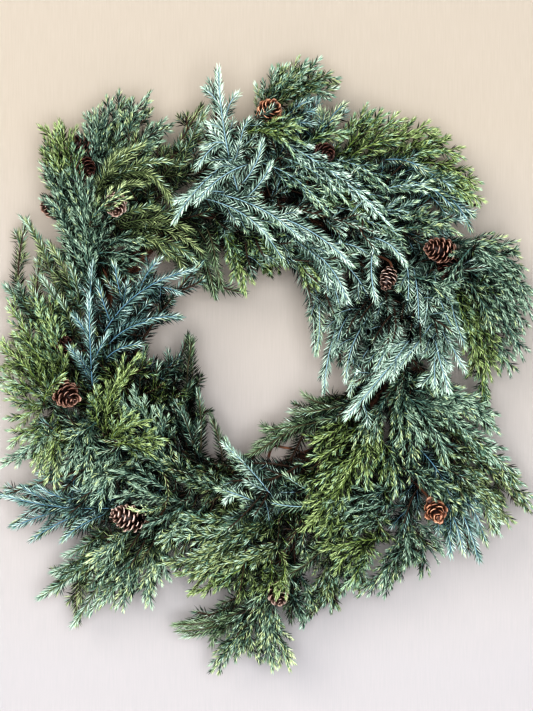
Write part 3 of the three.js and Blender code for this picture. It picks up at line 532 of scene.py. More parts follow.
# Needles of each form: spacing along the shoot, length, width, the sides of the shoot that they
# leave from in turn, their angle to it and how far those sides scatter, in degrees
NEEDLES = {
    "spruce": dict(
        every=0.75, length=13.8, width=1.2, ranks=(4, 178, 46, 134, -24, 204), lean=49, scatter=5),
    "cypress": dict(
        every=1.1, length=10.8, width=1.3, ranks=(0, 180, 60, 190, -10, 120), lean=32, scatter=7),
}

# Needles lie closer to the shoot near its tip and on its upper side, and are shorter near its tip
CLOSE_AT_TIP = 0.55
CLOSE_ABOVE = 0.22
LEAN_SPREAD = 5
SHORTER_AT_TIP = 0.3
NEEDLE_LENGTHS = (0.82, 1.1)
NEEDLE_WIDTHS = (0.8, 1.2)
KEEL_SPREAD = 0.35
BARE_FOOT = 2.0

# Tone of a needle, from 0 for old and dark to 1 for young and pale: what its shoot's age gives it, how
# much of that the tip loses, what the foot, the tip and the upper side give it, and its spread. The upper
# side's share is painted light and shade: needles on the side of the shoot that faces the front are
# paler, those behind it darker.
AGE_TONE = 0.3
AGE_FADE = 0.6
FOOT_TONE = -0.28
TIP_TONE = 0.64
ABOVE_LIGHT_TONE = 0.42
TONE_SPREAD = 0.18

# How the share of the second colour changes along a shoot, at its foot and what it gains to its tip
SECOND_AT_FOOT = 0.4
SECOND_TO_TIP = 1.2

# The tuft of needles at the end of each shoot
TUFT_NEEDLES = 3
TUFT_TURN = 60
TUFT_LEAN = (4, 18)
TUFT_LENGTHS = (0.6, 0.85)
TUFT_TONE = 0.26
TUFT_SPREAD = 0.08
TUFT_SECOND = 1.6

# Rows of the surface map: the needles' own tones from dark to pale, the tones of the second colour,
# and the wood, old in its first row and young in the others. Wood of up to one run fits its length.
NEEDLE_ROWS = 16
WOOD_ROWS = 4
ROWS = NEEDLE_ROWS + WOOD_ROWS
OLD_WOOD = NEEDLE_ROWS
WOOD_RUN = 300
ROW_MARGIN = 0.1
RUN_REACH = 0.94
TUBE_START = 0.03
NEEDLE_START = 0.02
RUN_LEAN = 0.3
CROSS_REACH = 0.9
CROSS_LEAN = 0.6
CAP_AT = (0.015, 0.5)
CAP_SIZE = (0.01, 0.35)


def unit(vectors):
    return vectors / np.linalg.norm(vectors, axis=-1, keepdims=True)


def square_to(vectors, heading):
    """The part of each vector that is square to the heading, at length one."""
    return unit(vectors - np.sum(vectors * heading, axis=-1, keepdims=True) * heading)


def from_front(across_up_front):
    """A place or a way as seen from the front, on the axes of the scene."""
    across, up, front = across_up_front
    return np.array([across, -front, up], float)


def place(across_up_front):
    return from_front(across_up_front) + RING_CENTRE


def beside_ring(angle, side, distance):
    """A point beside the bundle's centre line, for a ring angle and a side in radians."""
    outward = np.array([math.sin(angle), 0, math.cos(angle)])
    return (RING_CENTRE + outward * (RING_RADIUS + distance * math.cos(side))
            + TO_FRONT * (distance * math.sin(side)))


def lay_side(index, angle):
    """The side on which a vine lies at a ring angle. A half index is a groove."""
    return 2 * HALF_STEP * index + VINE_TURNS * angle


def groove_distance(stem_radius):
    reach = OUTER_VINE_RADIUS + stem_radius + VINE_GAP
    half_width = LAY_RADIUS * math.sin(HALF_STEP)
    return LAY_RADIUS * math.cos(HALF_STEP) + math.sqrt(reach**2 - half_width**2)


def groove_run(groove, from_angle, sweep, distance):
    angles = [math.radians(from_angle + sweep * step / SEAT_STEPS) for step in range(SEAT_STEPS + 1)]
    return [beside_ring(angle, lay_side(groove + 0.5, angle), distance) for angle in angles]


def angle_between(first, second):
    turn = (first - second) % 360
    return min(turn, 360 - turn)


seats = []


def take_groove(angle, side):
    """The free groove nearest the side that a butt leaves from, as the construction takes it."""
    best = None
    for groove in range(OUTER_VINES):
        taken = any(
            g == groove and angle_between(a, angle) < SEAT_SWEEP + SEAT_CLEARANCE for g, a in seats
        )
        offset = angle_between(math.degrees(lay_side(groove + 0.5, math.radians(angle))), side)
        if not taken and (best is None or offset < best[1]):
            best = (groove, offset)
    seats.append((best[0], angle))
    return best[0]


def bezier(points, count):
    """Evenly timed points along a Bezier curve of any degree."""
    times = np.linspace(0, 1, count)[:, None]
    layer = [np.repeat(np.asarray(point, float)[None], count, 0) for point in points]
    while len(layer) > 1:
        layer = [a + (b - a) * times for a, b in zip(layer, layer[1:])]
    return layer[0]


def stem_controls(angle, side, end, pull, radius):
    """The seat of a stem in its groove, and the controls of the curve that it follows beyond."""
    seat = groove_run(take_groove(angle, side), angle - SEAT_SWEEP, SEAT_SWEEP, groove_distance(radius))
    exit_point = seat[-1]
    along = unit(exit_point - seat[-2])
    radial = (exit_point - RING_CENTRE) * (1, 0, 1)
    lift = unit(exit_point - RING_CENTRE - unit(radial) * RING_RADIUS)
    reach = np.linalg.norm(end - exit_point)
    leave = exit_point + along * LEAVE_ALONG * reach + lift * LEAVE_LIFT * reach
    bend = leave + (end - leave) * BEND_ALONG + TO_FRONT * BEND_FRONT * reach
    return seat, [exit_point, leave, bend if pull is None else pull, end]


def shoot_path(stem, tip, count):
    """A side shoot from the stem's sample from which the tip lies nearest the shoot angle."""
    headings = unit(np.gradient(stem, axis=0))
    best = None
    for sample in SHOOT_SAMPLES:
        way = unit(tip - stem[sample])
        miss = abs(math.acos(np.clip(way @ headings[sample], -1, 1)) - math.radians(SHOOT_ANGLE))
        if best is None or miss < best[0]:
            best = (miss, stem[sample], headings[sample])
    _, start, heading = best
    bend = start + heading * SHOOT_BEND * np.linalg.norm(tip - start)
    return bezier([start, bend, tip], count)


def strand_path(stem, strand):
    """A strand with the link that joins it to the stem, and the link's share of the whole."""
    across, up, tip_across, tip_up, bow, front, _ = strand
    begin = place((across, up, front - STRAND_DIP))
    end = place((tip_across, tip_up, front))
    middle_stem = stem[LINK_CLEAR:-LINK_CLEAR]
    leave = middle_stem[np.argmin(np.linalg.norm(middle_stem - begin, axis=1))]
    way = unit(end - begin)
    left = square_to(np.array([-way[2], 0, way[0]]), way)
    middle = (begin + end) / 2 + 2 * (left * bow + TO_FRONT * STRAND_ARCH)
    strand_part = bezier([begin, middle, end], SHOOT_POINTS)
    reach = np.linalg.norm(begin - leave)
    link = bezier([leave, begin - unit(middle - begin) * LINK_SHARE * reach, begin], LINK_POINTS + 1)
    whole = np.concatenate([link[:-1], strand_part])
    link_length = path_length(link)
    return whole, link_length / (link_length + path_length(strand_part))


HAIR = 1e-9


def inside(place_at, edge):
    """Whether a place seen from the front lies inside a closed edge. A level side of the edge gets a
    hair of height, and no place ever lies across from it."""
    point = (place_at - RING_CENTRE)[[0, 2]]
    after = np.roll(edge, -1, axis=0)
    above, above_after = edge[:, 1] > point[1], after[:, 1] > point[1]
    slope = (after[:, 0] - edge[:, 0]) / (after[:, 1] - edge[:, 1] + HAIR)
    crossing = edge[:, 0] + (point[1] - edge[:, 1]) * slope
    return np.sum((above != above_after) & (point[0] < crossing)) % 2 == 1


def stations(path, every, first=0.0, last=None):
    """Shares of the way, places and headings every so many millimetres along a path."""
    legs = np.linalg.norm(np.diff(path, axis=0), axis=1)
    run = np.concatenate([[0], np.cumsum(legs)])
    at = np.arange(first, run[-1] if last is None else last, every)
    where = np.stack([np.interp(at, run, path[:, k]) for k in range(3)], 1)
    leg = np.clip(np.searchsorted(run, at, side="right") - 1, 0, len(legs) - 1)
    heading = np.diff(path, axis=0)[leg] / legs[leg, None]
    return at / run[-1], where, heading


def path_length(path):
    return np.linalg.norm(np.diff(path, axis=0), axis=1).sum()


# Modelled shapes that are then copied, each one long and one wide. A needle is spread and hollowed at
# its widest place. The rows of a cone scale have a height, a width and a bow, its tip has a width and
# a bow, its corners lie beyond a place and drop, and its edges, beyond a share of the half width that
# grows with height, curl up. The core tapers above each height.
NEEDLE_SPREAD = 1.15
NEEDLE_WIDEST = 0.38
NEEDLE_HOLLOW = 0.1
SCALE_ROWS = ((0, 0.34, 0), (0.25, 0.6, -0.03), (0.5, 0.9, -0.05), (0.75, 1.0, -0.02))
SCALE_TIP = (0.72, 0.07)
SCALE_CORNER = (0.3, 0.12)
SCALE_EDGE = (0.7, 0.17, 0.33)
SCALE_CURL = 0.1
SCALE_THICKNESS = 0.11
CORE_TAPER = ((0.6, 0.7), (0.8, 0.6))


def row_height(row, cross):
    """The height on the surface map of a place across one of its rows, clear of the rows beside."""
    return (row + ROW_MARGIN + (1 - 2 * ROW_MARGIN) * cross) / ROWS


def start(add_primitive, **options):
    """Adds a primitive with nothing else selected and opens it for editing."""
    bpy.ops.object.select_all(action="DESELECT")
    add_primitive(**options)
    bpy.ops.object.transform_apply(location=True, rotation=True, scale=True)
    bpy.ops.object.mode_set(mode="EDIT")
    return bpy.context.object


def pick(obj, test):
    """Selects the vertices whose place passes a test."""
    bpy.ops.mesh.select_mode(type="VERT")
    bpy.ops.mesh.select_all(action="DESELECT")
    bpy.ops.object.mode_set(mode="OBJECT")
    for vertex in obj.data.vertices:
        vertex.select = bool(test(vertex.co))
    bpy.ops.object.mode_set(mode="EDIT")


class Template:
    """A modelled shape kept as arrays, with the run and the cross place of each face corner. Both
    places lean on Y a little, so that faces seen edge on have some room on the surface map too."""

    def __init__(self, obj):
        mesh = obj.data
        self.places = np.array([vertex.co for vertex in mesh.vertices])
        self.corners = np.array([loop.vertex_index for loop in mesh.loops])
        self.sizes = np.array([len(face.vertices) for face in mesh.polygons])
        across, above, along = self.places[self.corners].T
        self.run = np.clip(NEEDLE_START + RUN_REACH * along + RUN_LEAN * above, 0.01, 0.99)
        self.cross = np.clip(0.5 + CROSS_REACH * across + CROSS_LEAN * above, 0.02, 0.98)
        bpy.data.objects.remove(obj)

    def copies(self, origin, x, y, z, tone, smooth=True):
        """One copy for each row of origins and axes, with its tone from 0 to 1."""
        count = len(origin)
        v = self.places
        places = (origin[:, None] + v[None, :, 0:1] * x[:, None] + v[None, :, 1:2] * y[:, None]
                  + v[None, :, 2:3] * z[:, None])
        row = np.floor(np.clip(tone, 0, 0.999) * NEEDLE_ROWS)
        high = row_height(row[:, None], self.cross[None])
        wide = np.repeat(self.run[None], count, 0)
        corners = self.corners[None] + len(v) * np.arange(count)[:, None]
        return dict(
            places=places.reshape(-1, 3), corners=corners.ravel(), sizes=np.tile(self.sizes, count),
            uv=np.stack([wide.ravel(), high.ravel()], 1), smooth=np.full(count * len(self.sizes), smooth),
        )


def model_needle():
    """A needle one long along Z and one wide along X: a keel from its foot to its tip, and a
    widest place between."""
    needle = start(bpy.ops.mesh.primitive_cone_add, vertices=3, radius1=0.5, radius2=0, depth=1,
                   location=(0, 0, 0.5))
    pick(needle, lambda co: co.z < 0.1 and co.y > 0.1)
    bpy.ops.transform.translate(value=(0, -0.5, 0))
    pick(needle, lambda co: co.z < 0.1 and co.y < -0.1)
    bpy.ops.transform.resize(value=(NEEDLE_SPREAD, 1, 1))
    bpy.ops.transform.translate(value=(0, -NEEDLE_HOLLOW, NEEDLE_WIDEST))
    bpy.ops.object.mode_set(mode="OBJECT")
    return Template(needle)


def model_cone_scale():
    """A cone scale one long along Z and one wide along X: a cupped fan with a thick round rim."""
    scale = start(bpy.ops.mesh.primitive_grid_add, x_subdivisions=4, y_subdivisions=4, size=1,
                  rotation=(math.pi / 2, 0, 0), location=(0, 0, 0.5))
    for height, width, bow in SCALE_ROWS:
        pick(scale, lambda co: abs(co.z - height) < 0.01)
        bpy.ops.transform.resize(value=(width, 1, 1), center_override=(0, 0, height))
        bpy.ops.transform.translate(value=(0, bow, 0))
    tip_width, tip_bow = SCALE_TIP
    pick(scale, lambda co: co.z > 0.9)
    bpy.ops.transform.resize(value=(tip_width, 1, 1), center_override=(0, 0, 1))
    bpy.ops.transform.translate(value=(0, tip_bow, 0))
    corner, drop = SCALE_CORNER
    pick(scale, lambda co: co.z > 0.9 and abs(co.x) > corner)
    bpy.ops.transform.translate(value=(0, 0, -drop))
    edge_share, foot_half, growth = SCALE_EDGE
    pick(scale, lambda co: abs(co.x) > edge_share * (foot_half + growth * co.z))
    bpy.ops.transform.translate(value=(0, SCALE_CURL, 0))
    bpy.ops.object.mode_set(mode="OBJECT")
    solidify = scale.modifiers.new("thickness", "SOLIDIFY")
    solidify.thickness = SCALE_THICKNESS
    solidify.offset = 0
    bpy.ops.object.modifier_apply(modifier=solidify.name)
    return Template(scale)


def model_cone_core():
    """The spindle under the scales, one long along Z and one wide, blunt at its foot."""
    core = start(bpy.ops.mesh.primitive_uv_sphere_add, segments=10, ring_count=8, radius=0.5,
                 location=(0, 0, 0.5))
    for height, width in CORE_TAPER:
        pick(core, lambda co: co.z > height)
        bpy.ops.transform.resize(value=(width, width, 1), center_override=(0, 0, 1))
    bpy.ops.object.mode_set(mode="OBJECT")
    return Template(core)


# Meshes


def tube(path, radii, sides, row, facing=TO_FRONT, ridges=None):
    """A closed tube round a path, with its wood in one row of the surface map."""
    path = np.asarray(path, float)
    radii = np.broadcast_to(radii, len(path))
    heading = unit(np.gradient(path, axis=0))
    normal = square_to(facing, heading)
    sideways = np.cross(normal, heading)
    turn = np.linspace(0, 2 * math.pi, sides, endpoint=False)
    reach = radii[:, None] * (1 if ridges is None else ridges)
    places = (path[:, None] + (reach * np.cos(turn))[..., None] * normal[:, None]
              + (reach * np.sin(turn))[..., None] * sideways[:, None])
    ring, spoke = np.meshgrid(np.arange(len(path) - 1), np.arange(sides), indexing="ij")
    after = (spoke + 1) % sides
    faces = np.stack([ring * sides + spoke, (ring + 1) * sides + spoke,
                      (ring + 1) * sides + after, ring * sides + after], -1)
    run = np.concatenate([[0], np.cumsum(np.linalg.norm(np.diff(path, axis=0), axis=1))]) / WOOD_RUN
    run = TUBE_START + RUN_REACH * run / max(run[-1], 1)
    wide = run[ring[..., None] + np.array([0, 1, 1, 0])]
    cross = (spoke[..., None] + np.array([0, 0, 1, 1])) / sides
    cap = np.arange(sides)
    last = (len(path) - 1) * sides + cap[::-1]
    disc = np.array(CAP_AT) + np.array(CAP_SIZE) * np.stack([np.cos(turn), np.sin(turn)], 1)
    corners = np.concatenate([faces.ravel(), cap, last])
    uv = np.concatenate([np.stack([wide.ravel(), cross.ravel()], 1), disc, disc])
    uv[:, 1] = row_height(row, uv[:, 1])
    sizes = np.concatenate([np.full(ring.size, 4), [sides, sides]])
    return dict(places=places.reshape(-1, 3), corners=corners, sizes=sizes, uv=uv,
                smooth=np.ones(len(sizes), bool))


def joined(batches):
    """Several batches of faces as one."""
    offsets = np.cumsum([0] + [len(batch["places"]) for batch in batches[:-1]])
    return dict(
        places=np.concatenate([batch["places"] for batch in batches]),
        corners=np.concatenate([b["corners"] + offset for b, offset in zip(batches, offsets)]),
        sizes=np.concatenate([batch["sizes"] for batch in batches]),
        uv=np.concatenate([batch["uv"] for batch in batches]),
        smooth=np.concatenate([batch["smooth"] for batch in batches]),
    )


def make_piece(name, surfaces, node):
    """One object from a list of (material, batch), which stands for a node of the construction."""
    whole = joined([batch for _, batch in surfaces])
    whole["places"][:, 1] = np.clip(whole["places"][:, 1], FRONT_LIMIT, BACK_LIMIT)
    mesh = bpy.data.meshes.new(name)
    mesh.vertices.add(len(whole["places"]))
    mesh.vertices.foreach_set("co", (whole["places"] * MM).ravel())
    mesh.loops.add(len(whole["corners"]))
    mesh.loops.foreach_set("vertex_index", whole["corners"].astype(np.int32))
    mesh.polygons.add(len(whole["sizes"]))
    starts = np.concatenate([[0], np.cumsum(whole["sizes"])[:-1]]).astype(np.int32)
    mesh.polygons.foreach_set("loop_start", starts)
    slots = np.concatenate([np.full(len(batch["sizes"]), i) for i, (_, batch) in enumerate(surfaces)])
    mesh.polygons.foreach_set("material_index", slots.astype(np.int32))
    mesh.polygons.foreach_set("use_smooth", whole["smooth"])
    mesh.uv_layers.new(name="OFBake").data.foreach_set("uv", whole["uv"].astype(np.float32).ravel())
    for material, _ in surfaces:
        mesh.materials.append(material)
    mesh.update(calc_edges=True)
    piece = bpy.data.objects.new(name, mesh)
    bpy.context.scene.collection.objects.link(piece)
    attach(piece, "root")
    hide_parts(node)


# Branches

SHOOT_ORDERS = {"stem": 0, "shoot": 1, "strand": 1, "twig": 2}
SHOOT_RADII = {
    "stem": (STEM_RADIUS, STEM_TIP_RADIUS), "shoot": (SHOOT_RADIUS, SHOOT_TIP_RADIUS),
    "strand": (STRAND_RADIUS, TWIG_RADIUS), "twig": (TWIG_RADIUS, TWIG_RADIUS * TWIG_TIP_SHARE)}


class Spray:
    """The needles and the wood of one branch, gathered while it grows."""

    def __init__(self, form, rng, young):
        self.forks = FORKS[form]
        self.needle = NEEDLES[form]
        self.rng = rng
        self.young = young
        self.rows = []
        self.wood = []

    def dress(self, path, facing, size, age, second, bare):
        """Sets needles along a shoot and a tuft at its end. The second colour grows to the tip."""
        look, rng = self.needle, self.rng
        share, where, heading = stations(path, look["every"], bare)
        count = len(share)
        ranks = np.array(look["ranks"])[np.arange(count) % len(look["ranks"])]
        azimuth = np.radians(ranks + rng.normal(0, look["scatter"], count))
        lean = np.radians(
            look["lean"] * (1 - CLOSE_AT_TIP * share**4) + rng.normal(0, LEAN_SPREAD, count))
        above = np.sin(azimuth)
        lean *= 1 - CLOSE_ABOVE * np.clip(above, 0, 1)
        length = look["length"] * size * (1 - SHORTER_AT_TIP * share**3)
        length = length * rng.uniform(*NEEDLE_LENGTHS, count)
        tone = self.young + AGE_TONE * age * (1 - AGE_FADE * share)
        # Painted light and shade: needles on the shoot's front side paler, those behind it darker
        tone = tone + TIP_TONE * share + FOOT_TONE + ABOVE_LIGHT_TONE * above
        tone += rng.normal(0, TONE_SPREAD, count)
        turned = rng.uniform(size=count) < second * (SECOND_AT_FOOT + SECOND_TO_TIP * share)
        self.set_needles(where, heading, facing, azimuth, lean, length, tone, turned)
        tuft = TUFT_NEEDLES
        ends = np.repeat(path[-1:], tuft, 0)
        ahead = np.repeat(unit(path[-1:] - path[-2:-1]), tuft, 0)
        around = np.radians(np.linspace(0, 360, tuft, endpoint=False) + rng.uniform(0, TUFT_TURN))
        self.set_needles(ends, ahead, facing, around, np.radians(rng.uniform(*TUFT_LEAN, tuft)),
                         look["length"] * size * rng.uniform(*TUFT_LENGTHS, tuft),
                         self.young + AGE_TONE * age + TUFT_TONE + rng.normal(0, TUFT_SPREAD, tuft),
                         rng.uniform(size=tuft) < TUFT_SECOND * second)

    def set_needles(self, where, heading, facing, azimuth, lean, length, tone, turned):
        """Sets needles, each with its tone in the lower or, when turned, the upper half of the map."""
        up = square_to(facing, heading)
        side = np.cross(heading, up)
        outward = np.cos(azimuth)[:, None] * side + np.sin(azimuth)[:, None] * up
        along = np.cos(lean)[:, None] * heading + np.sin(lean)[:, None] * outward
        keel = square_to(up + self.rng.normal(0, KEEL_SPREAD, along.shape), along)
        width = self.needle["width"] * self.rng.uniform(*NEEDLE_WIDTHS, len(length))[:, None]
        row = (np.clip(tone, 0, 0.99) + turned) / 2
        self.rows.append(np.column_stack([
            where, np.cross(keel, along) * width, keel * width, along * length[:, None], row]))

    def grow(self, path, facing, kind, size, age, second, link=0.0):
        """Adds a shoot's wood, its side shoots and its needles. Some shoots are paler than others."""
        order = SHOOT_ORDERS[kind]
        age += max(DARKEST, self.rng.normal(0, AGE_SPREAD))
        second = float(np.clip(second + self.rng.normal(0, SECOND_SPREAD), 0, 1))
        radii = np.linspace(*SHOOT_RADII[kind], len(path))
        old = LINK_POINTS if link else 0
        if old:
            self.wood.append(tube(path[:old + 1], radii[:old + 1], LINK_SIDES, OLD_WOOD, facing))
        row = OLD_WOOD + (order if kind in ("strand", "twig") else 0)
        self.wood.append(tube(path[old:], radii[old:], STEM_SIDES - order, row, facing))
        if kind in self.forks:
            self.fork(path, facing, kind, size, age, second, link)
        bare = max(BARE_FOOT, LINK_BARE * link * path_length(path))
        self.dress(path, facing, size, age, second, bare)

    def fork(self, path, facing, kind, size, age, second, link):
        """Adds side shoots to both sides in turn, from where the link ends on a strand."""
        rule, rng = self.forks[kind], self.rng
        total = path_length(path)
        every = rule["every"]
        first_share = link + (1 - link) * rule["first"]
        share, where, heading = stations(
            path, every, first_share * total + rng.uniform(0, every), rule["last"] * total)
        hand = rng.choice([-1, 1])
        for index in range(len(share)):
            hand = -hand
            up = square_to(facing + rng.normal(0, FORK_TILT, 3), heading[index])
            side = np.cross(heading[index], up)
            turn = math.radians(rule["angle"] + rng.normal(0, FORK_SPREAD)) * hand
            lift = math.radians(rng.normal(*FORK_LIFT))
            out = heading[index] * math.cos(turn) + side * math.sin(turn)
            out = out * math.cos(lift) + up * math.sin(lift)
            first, last = rule["lengths"]
            along = max(0, (share[index] - link) / (1 - link))
            length = size * (first + (last - first) * along) * rng.uniform(*FORK_LENGTHS)
            way = unit(out + FORK_SWING * heading[index])
            if kind != "strand":
                if inside(where[index] + length * way, HOLE_EDGE):
                    continue
                if not inside(where[index] + length * way, OUTLINE):
                    length *= STRAY_SHARE
            bend = where[index] + FORK_BEND * length * out
            end = where[index] + length * way
            shoot = bezier([where[index], bend, end], FORK_POINTS[kind])
            self.grow(shoot, up, "shoot" if kind == "stem" else "twig", size * FORK_SIZE,
                      age + FORK_AGE * along, second)

    def fill(self, stem, facing):
        """Adds the short dark shoots near the butt, to both sides in turn."""
        rng = self.rng
        for index in range(FILL_SHOOTS):
            sample = int(STEM_SAMPLES * rng.uniform(*FILL_ALONG))
            heading = unit(stem[sample + 1] - stem[sample])
            up = square_to(facing, heading)
            side = np.cross(heading, up) * (-1) ** index
            turn = math.radians(rng.uniform(*FILL_TURN))
            lift = math.radians(rng.uniform(*FILL_LIFT))
            out = math.cos(turn) * heading + math.sin(turn) * (
                math.cos(lift) * side + math.sin(lift) * up)
            length = rng.uniform(*FILL_LENGTHS)
            begin = stem[sample]
            end = begin + length * unit(out + FILL_SWING * heading)
            if inside(end, HOLE_EDGE) or not inside(end, OUTLINE):
                continue
            shoot = bezier([begin, begin + FORK_BEND * length * out, end], FILL_POINTS)
            shoot_up = square_to(facing + rng.normal(0, SHOOT_TILT, 3), out)
            # Painted shade as well as age: the fill shoots are dark for the deep place they fill
            self.grow(shoot, shoot_up, "shoot", 1, FILL_AGE_AND_SHADE, FILL_SECOND)

    def needles(self, template):
        rows = np.concatenate(self.rows)
        return template.copies(rows[:, 0:3], rows[:, 3:6], rows[:, 6:9], rows[:, 9:12], rows[:, 12],
                               smooth=False)


def make_branch(index, name, kind, template):
    angle, side, pull, tips = BRANCHES[name]
    rng = np.random.default_rng([SEED, index])
    form = "spruce" if "spruce" in name else "cypress"
    end, *shoot_tips = [place(tip) for tip in tips]
    pull = None if pull is None else place(pull)
    seat, controls = stem_controls(angle, side, end, pull, STEM_RADIUS)
    stem = bezier(controls, STEM_SAMPLES + 1)
    facing = unit(TO_FRONT + rng.normal(0, BRANCH_TILT, 3))
    paler, strands = STRANDS[name]
    spray = Spray(form, rng, KINDS[kind]["young"] + paler)
    spray.wood.append(tube(seat, STEM_RADIUS, STEM_SIDES, OLD_WOOD))
    # The stem and its plain shoots take dark ages, partly painted shade for the deep layer they form
    spray.grow(stem, facing, "stem", 1.0, STEM_AGE_AND_SHADE, PLAIN_SECOND)
    spray.fill(stem, facing)
    for tip in shoot_tips:
        shoot = shoot_path(stem, tip, SHOOT_POINTS)
        up = square_to(facing + rng.normal(0, SHOOT_TILT, 3), unit(shoot[-1] - shoot[0]))
        spray.grow(shoot, up, "shoot", 1.0, SHOOT_AGE_AND_SHADE, PLAIN_SECOND)
    for strand in strands:
        path, link = strand_path(stem, strand)
        up = square_to(TO_FRONT + rng.normal(0, STRAND_TILT, 3), unit(path[-1] - path[-TIP_POINTS]))
        spray.grow(path, up, "strand", 1.0, STRAND_AGE, strand[-1] / 100, link)
    surfaces = [(skins[kind], spray.needles(template)), (barks[kind], joined(spray.wood))]
    make_piece(name + "_spray", surfaces, name)


# Cones

# A cone's radius along it, its spiral of scales, how far they stand off its axis from foot to tip in
# degrees, and what sets the look of each tint on the surface map
CONE_OUTLINE = [(0, 0.3), (0.06, 0.7), (0.2, 0.94), (0.42, 1), (0.68, 0.8), (0.9, 0.42), (1, 0.1)]
GOLDEN_ANGLE = math.radians(137.508)
SCALES_PER_MM = 1.3
SCALE_OPENING = ([0, 0.25, 0.7, 1], [98, 76, 60, 26])
CONE_TINTS = {"dark": (0.0, 0.24), "brown": (0.26, 0.49), "pale": (0.51, 0.74), "orange": (0.76, 0.99)}

# Where the scales root and how far they reach out, how much shorter a degree of unevenness makes the
# shortest, how many stand side by side, their widths, and the core's size and tone
ROOT_SHARE = 0.3
LEAST_SINE = 0.45
RAGGED_LOSS = 0.02
LONGEST_SCALE = 1.04
SCALES_RUN = 0.9
SCALE_SET_BACK = 0.5
SCALES_ROUND = 7.2
SCALE_WIDTHS = (3.8, 9.4)
SCALE_WIDTH_RANGE = (0.85, 1.1)
SCALE_DEPTH = 0.9
CORE_WIDTH = 0.62
CORE_LENGTH = 0.93
CORE_TONE = 0.01
SPIRAL_START = np.array([0.013, -1, 0.017])


def cone_batches(middle, axis, length, diameter, tint, ragged, scale, core, rng):
    """The scales of one cone set in a spiral round its core. A ragged cone has uneven scales."""
    foot = place(middle) - axis * length / 2
    first = square_to(SPIRAL_START, axis)
    second = np.cross(axis, first)
    count = int(SCALES_PER_MM * length)
    share = (np.arange(count) + 0.5) / count
    outline = np.array(CONE_OUTLINE)
    radius = np.interp(share, outline[:, 0], outline[:, 1]) * diameter / 2
    turn = np.arange(count) * GOLDEN_ANGLE
    outward = np.cos(turn)[:, None] * first + np.sin(turn)[:, None] * second
    opening = np.radians(np.interp(share, *SCALE_OPENING) + rng.normal(0, ragged, count))
    along = np.cos(opening)[:, None] * axis + np.sin(opening)[:, None] * outward
    root = ROOT_SHARE * radius
    reach = (radius - root) / np.maximum(np.sin(opening), LEAST_SINE)
    reach = reach * rng.uniform(1 - RAGGED_LOSS * ragged, LONGEST_SCALE, count)
    low = share * length * SCALES_RUN - reach * np.cos(opening) * SCALE_SET_BACK
    origin = foot + low[:, None] * axis + root[:, None] * outward
    sideways = np.cross(axis, outward)
    above = np.cross(along, sideways)
    above *= np.sign(np.sum(above * axis, 1))[:, None]
    width = np.clip(2 * math.pi * radius / SCALES_ROUND, *SCALE_WIDTHS)
    width = width * rng.uniform(*SCALE_WIDTH_RANGE, count)
    tone = rng.uniform(*CONE_TINTS[tint], count)
    scales = scale.copies(origin, np.cross(above, along) * width[:, None],
                          above * reach[:, None] * SCALE_DEPTH, along * reach[:, None], tone)
    thick = diameter * CORE_WIDTH
    body = core.copies(foot[None], first[None] * thick, second[None] * thick,
                       axis[None] * length * CORE_LENGTH, np.array([CORE_TONE]))
    return [scales, body]


def make_cone_twig(index, name, scale, core):
    """The stalk from its seat to the first cone, a fork from its middle to a second, and the cones."""
    angle, side, cones = CONE_TWIGS[name]
    rng = np.random.default_rng([SEED, CONE_SEEDS + index])
    wood, batches = [], []
    for number, (middle, way, length, diameter, tint, ragged) in enumerate(cones):
        axis = unit(from_front(way))
        foot = place(middle) + axis * (CONE_STALK_SINK - length / 2)
        if number == 0:
            seat, controls = stem_controls(angle, side, foot, foot - axis * length, CONE_STALK_RADIUS)
            parts = [seat, bezier(controls, STALK_POINTS)]
        else:
            fork = bezier(controls, 3)[1]
            bend = foot - axis * TWIN_BEND * np.linalg.norm(foot - fork)
            parts = [bezier([fork, bend, foot], TWIN_POINTS)]
        wood += [tube(part, CONE_STALK_RADIUS, STALK_SIDES, OLD_WOOD) for part in parts]
        batches += cone_batches(middle, axis, length, diameter, tint, ragged, scale, core, rng)
    surfaces = [(cone_scales, joined(batches)), (twig_bark, joined(wood))]
    make_piece(name + "_cones", surfaces, name)


# Vines

# The bark of a vine: its ridges as number and height, how far they twist, its swellings as waves on
# the whole vine, and its knots, with heights as shares of its radius and lengths of its own length
VINE_STATIONS = 230
VINE_SPOKES = 14
VINE_RIDGES = ((3, 0.05), (5, 0.04), (7, 0.03))
RIDGE_TWIST = 9
VINE_WAVES = (9, 23, 57)
WAVE_HEIGHT = 0.025
WAVE_START = 6
KNOTS = 7
KNOTS_ALONG = (0.05, 0.95)
KNOT_HEIGHT = 0.16
KNOT_LENGTH = 0.004
BARK_SHARE = 0.97
TENDRIL_TIP_SHARE = 0.75
TENDRIL_SIDES = 8


def make_vine(name, index, angles, radius, distance):
    rng = np.random.default_rng([SEED, VINE_SEEDS + index])
    path = np.array([
        beside_ring(angle, lay_side(index, angle) if distance else 0, distance) for angle in angles])
    run = np.linspace(0, 1, len(path))
    turn = np.linspace(0, 2 * math.pi, VINE_SPOKES, endpoint=False)
    ridges = np.ones((len(path), VINE_SPOKES))
    for strands, height in VINE_RIDGES:
        twist = rng.uniform(-RIDGE_TWIST, RIDGE_TWIST)
        begin = rng.uniform(0, WAVE_START)
        ridges += height * np.sin(strands * turn[None] + twist * run[:, None] + begin)
    for waves in VINE_WAVES:
        begin = rng.uniform(0, WAVE_START)
        ridges += WAVE_HEIGHT * np.sin(2 * math.pi * waves * run + begin)[:, None]
    for knot in rng.uniform(*KNOTS_ALONG, KNOTS):
        ridges += KNOT_HEIGHT * np.exp(-(((run - knot) / KNOT_LENGTH) ** 2))[:, None]
    batch = tube(path, radius * BARK_SHARE, VINE_SPOKES, OLD_WOOD, ridges=ridges)
    make_piece(name + "_bark", [(vine_bark, batch)], name)


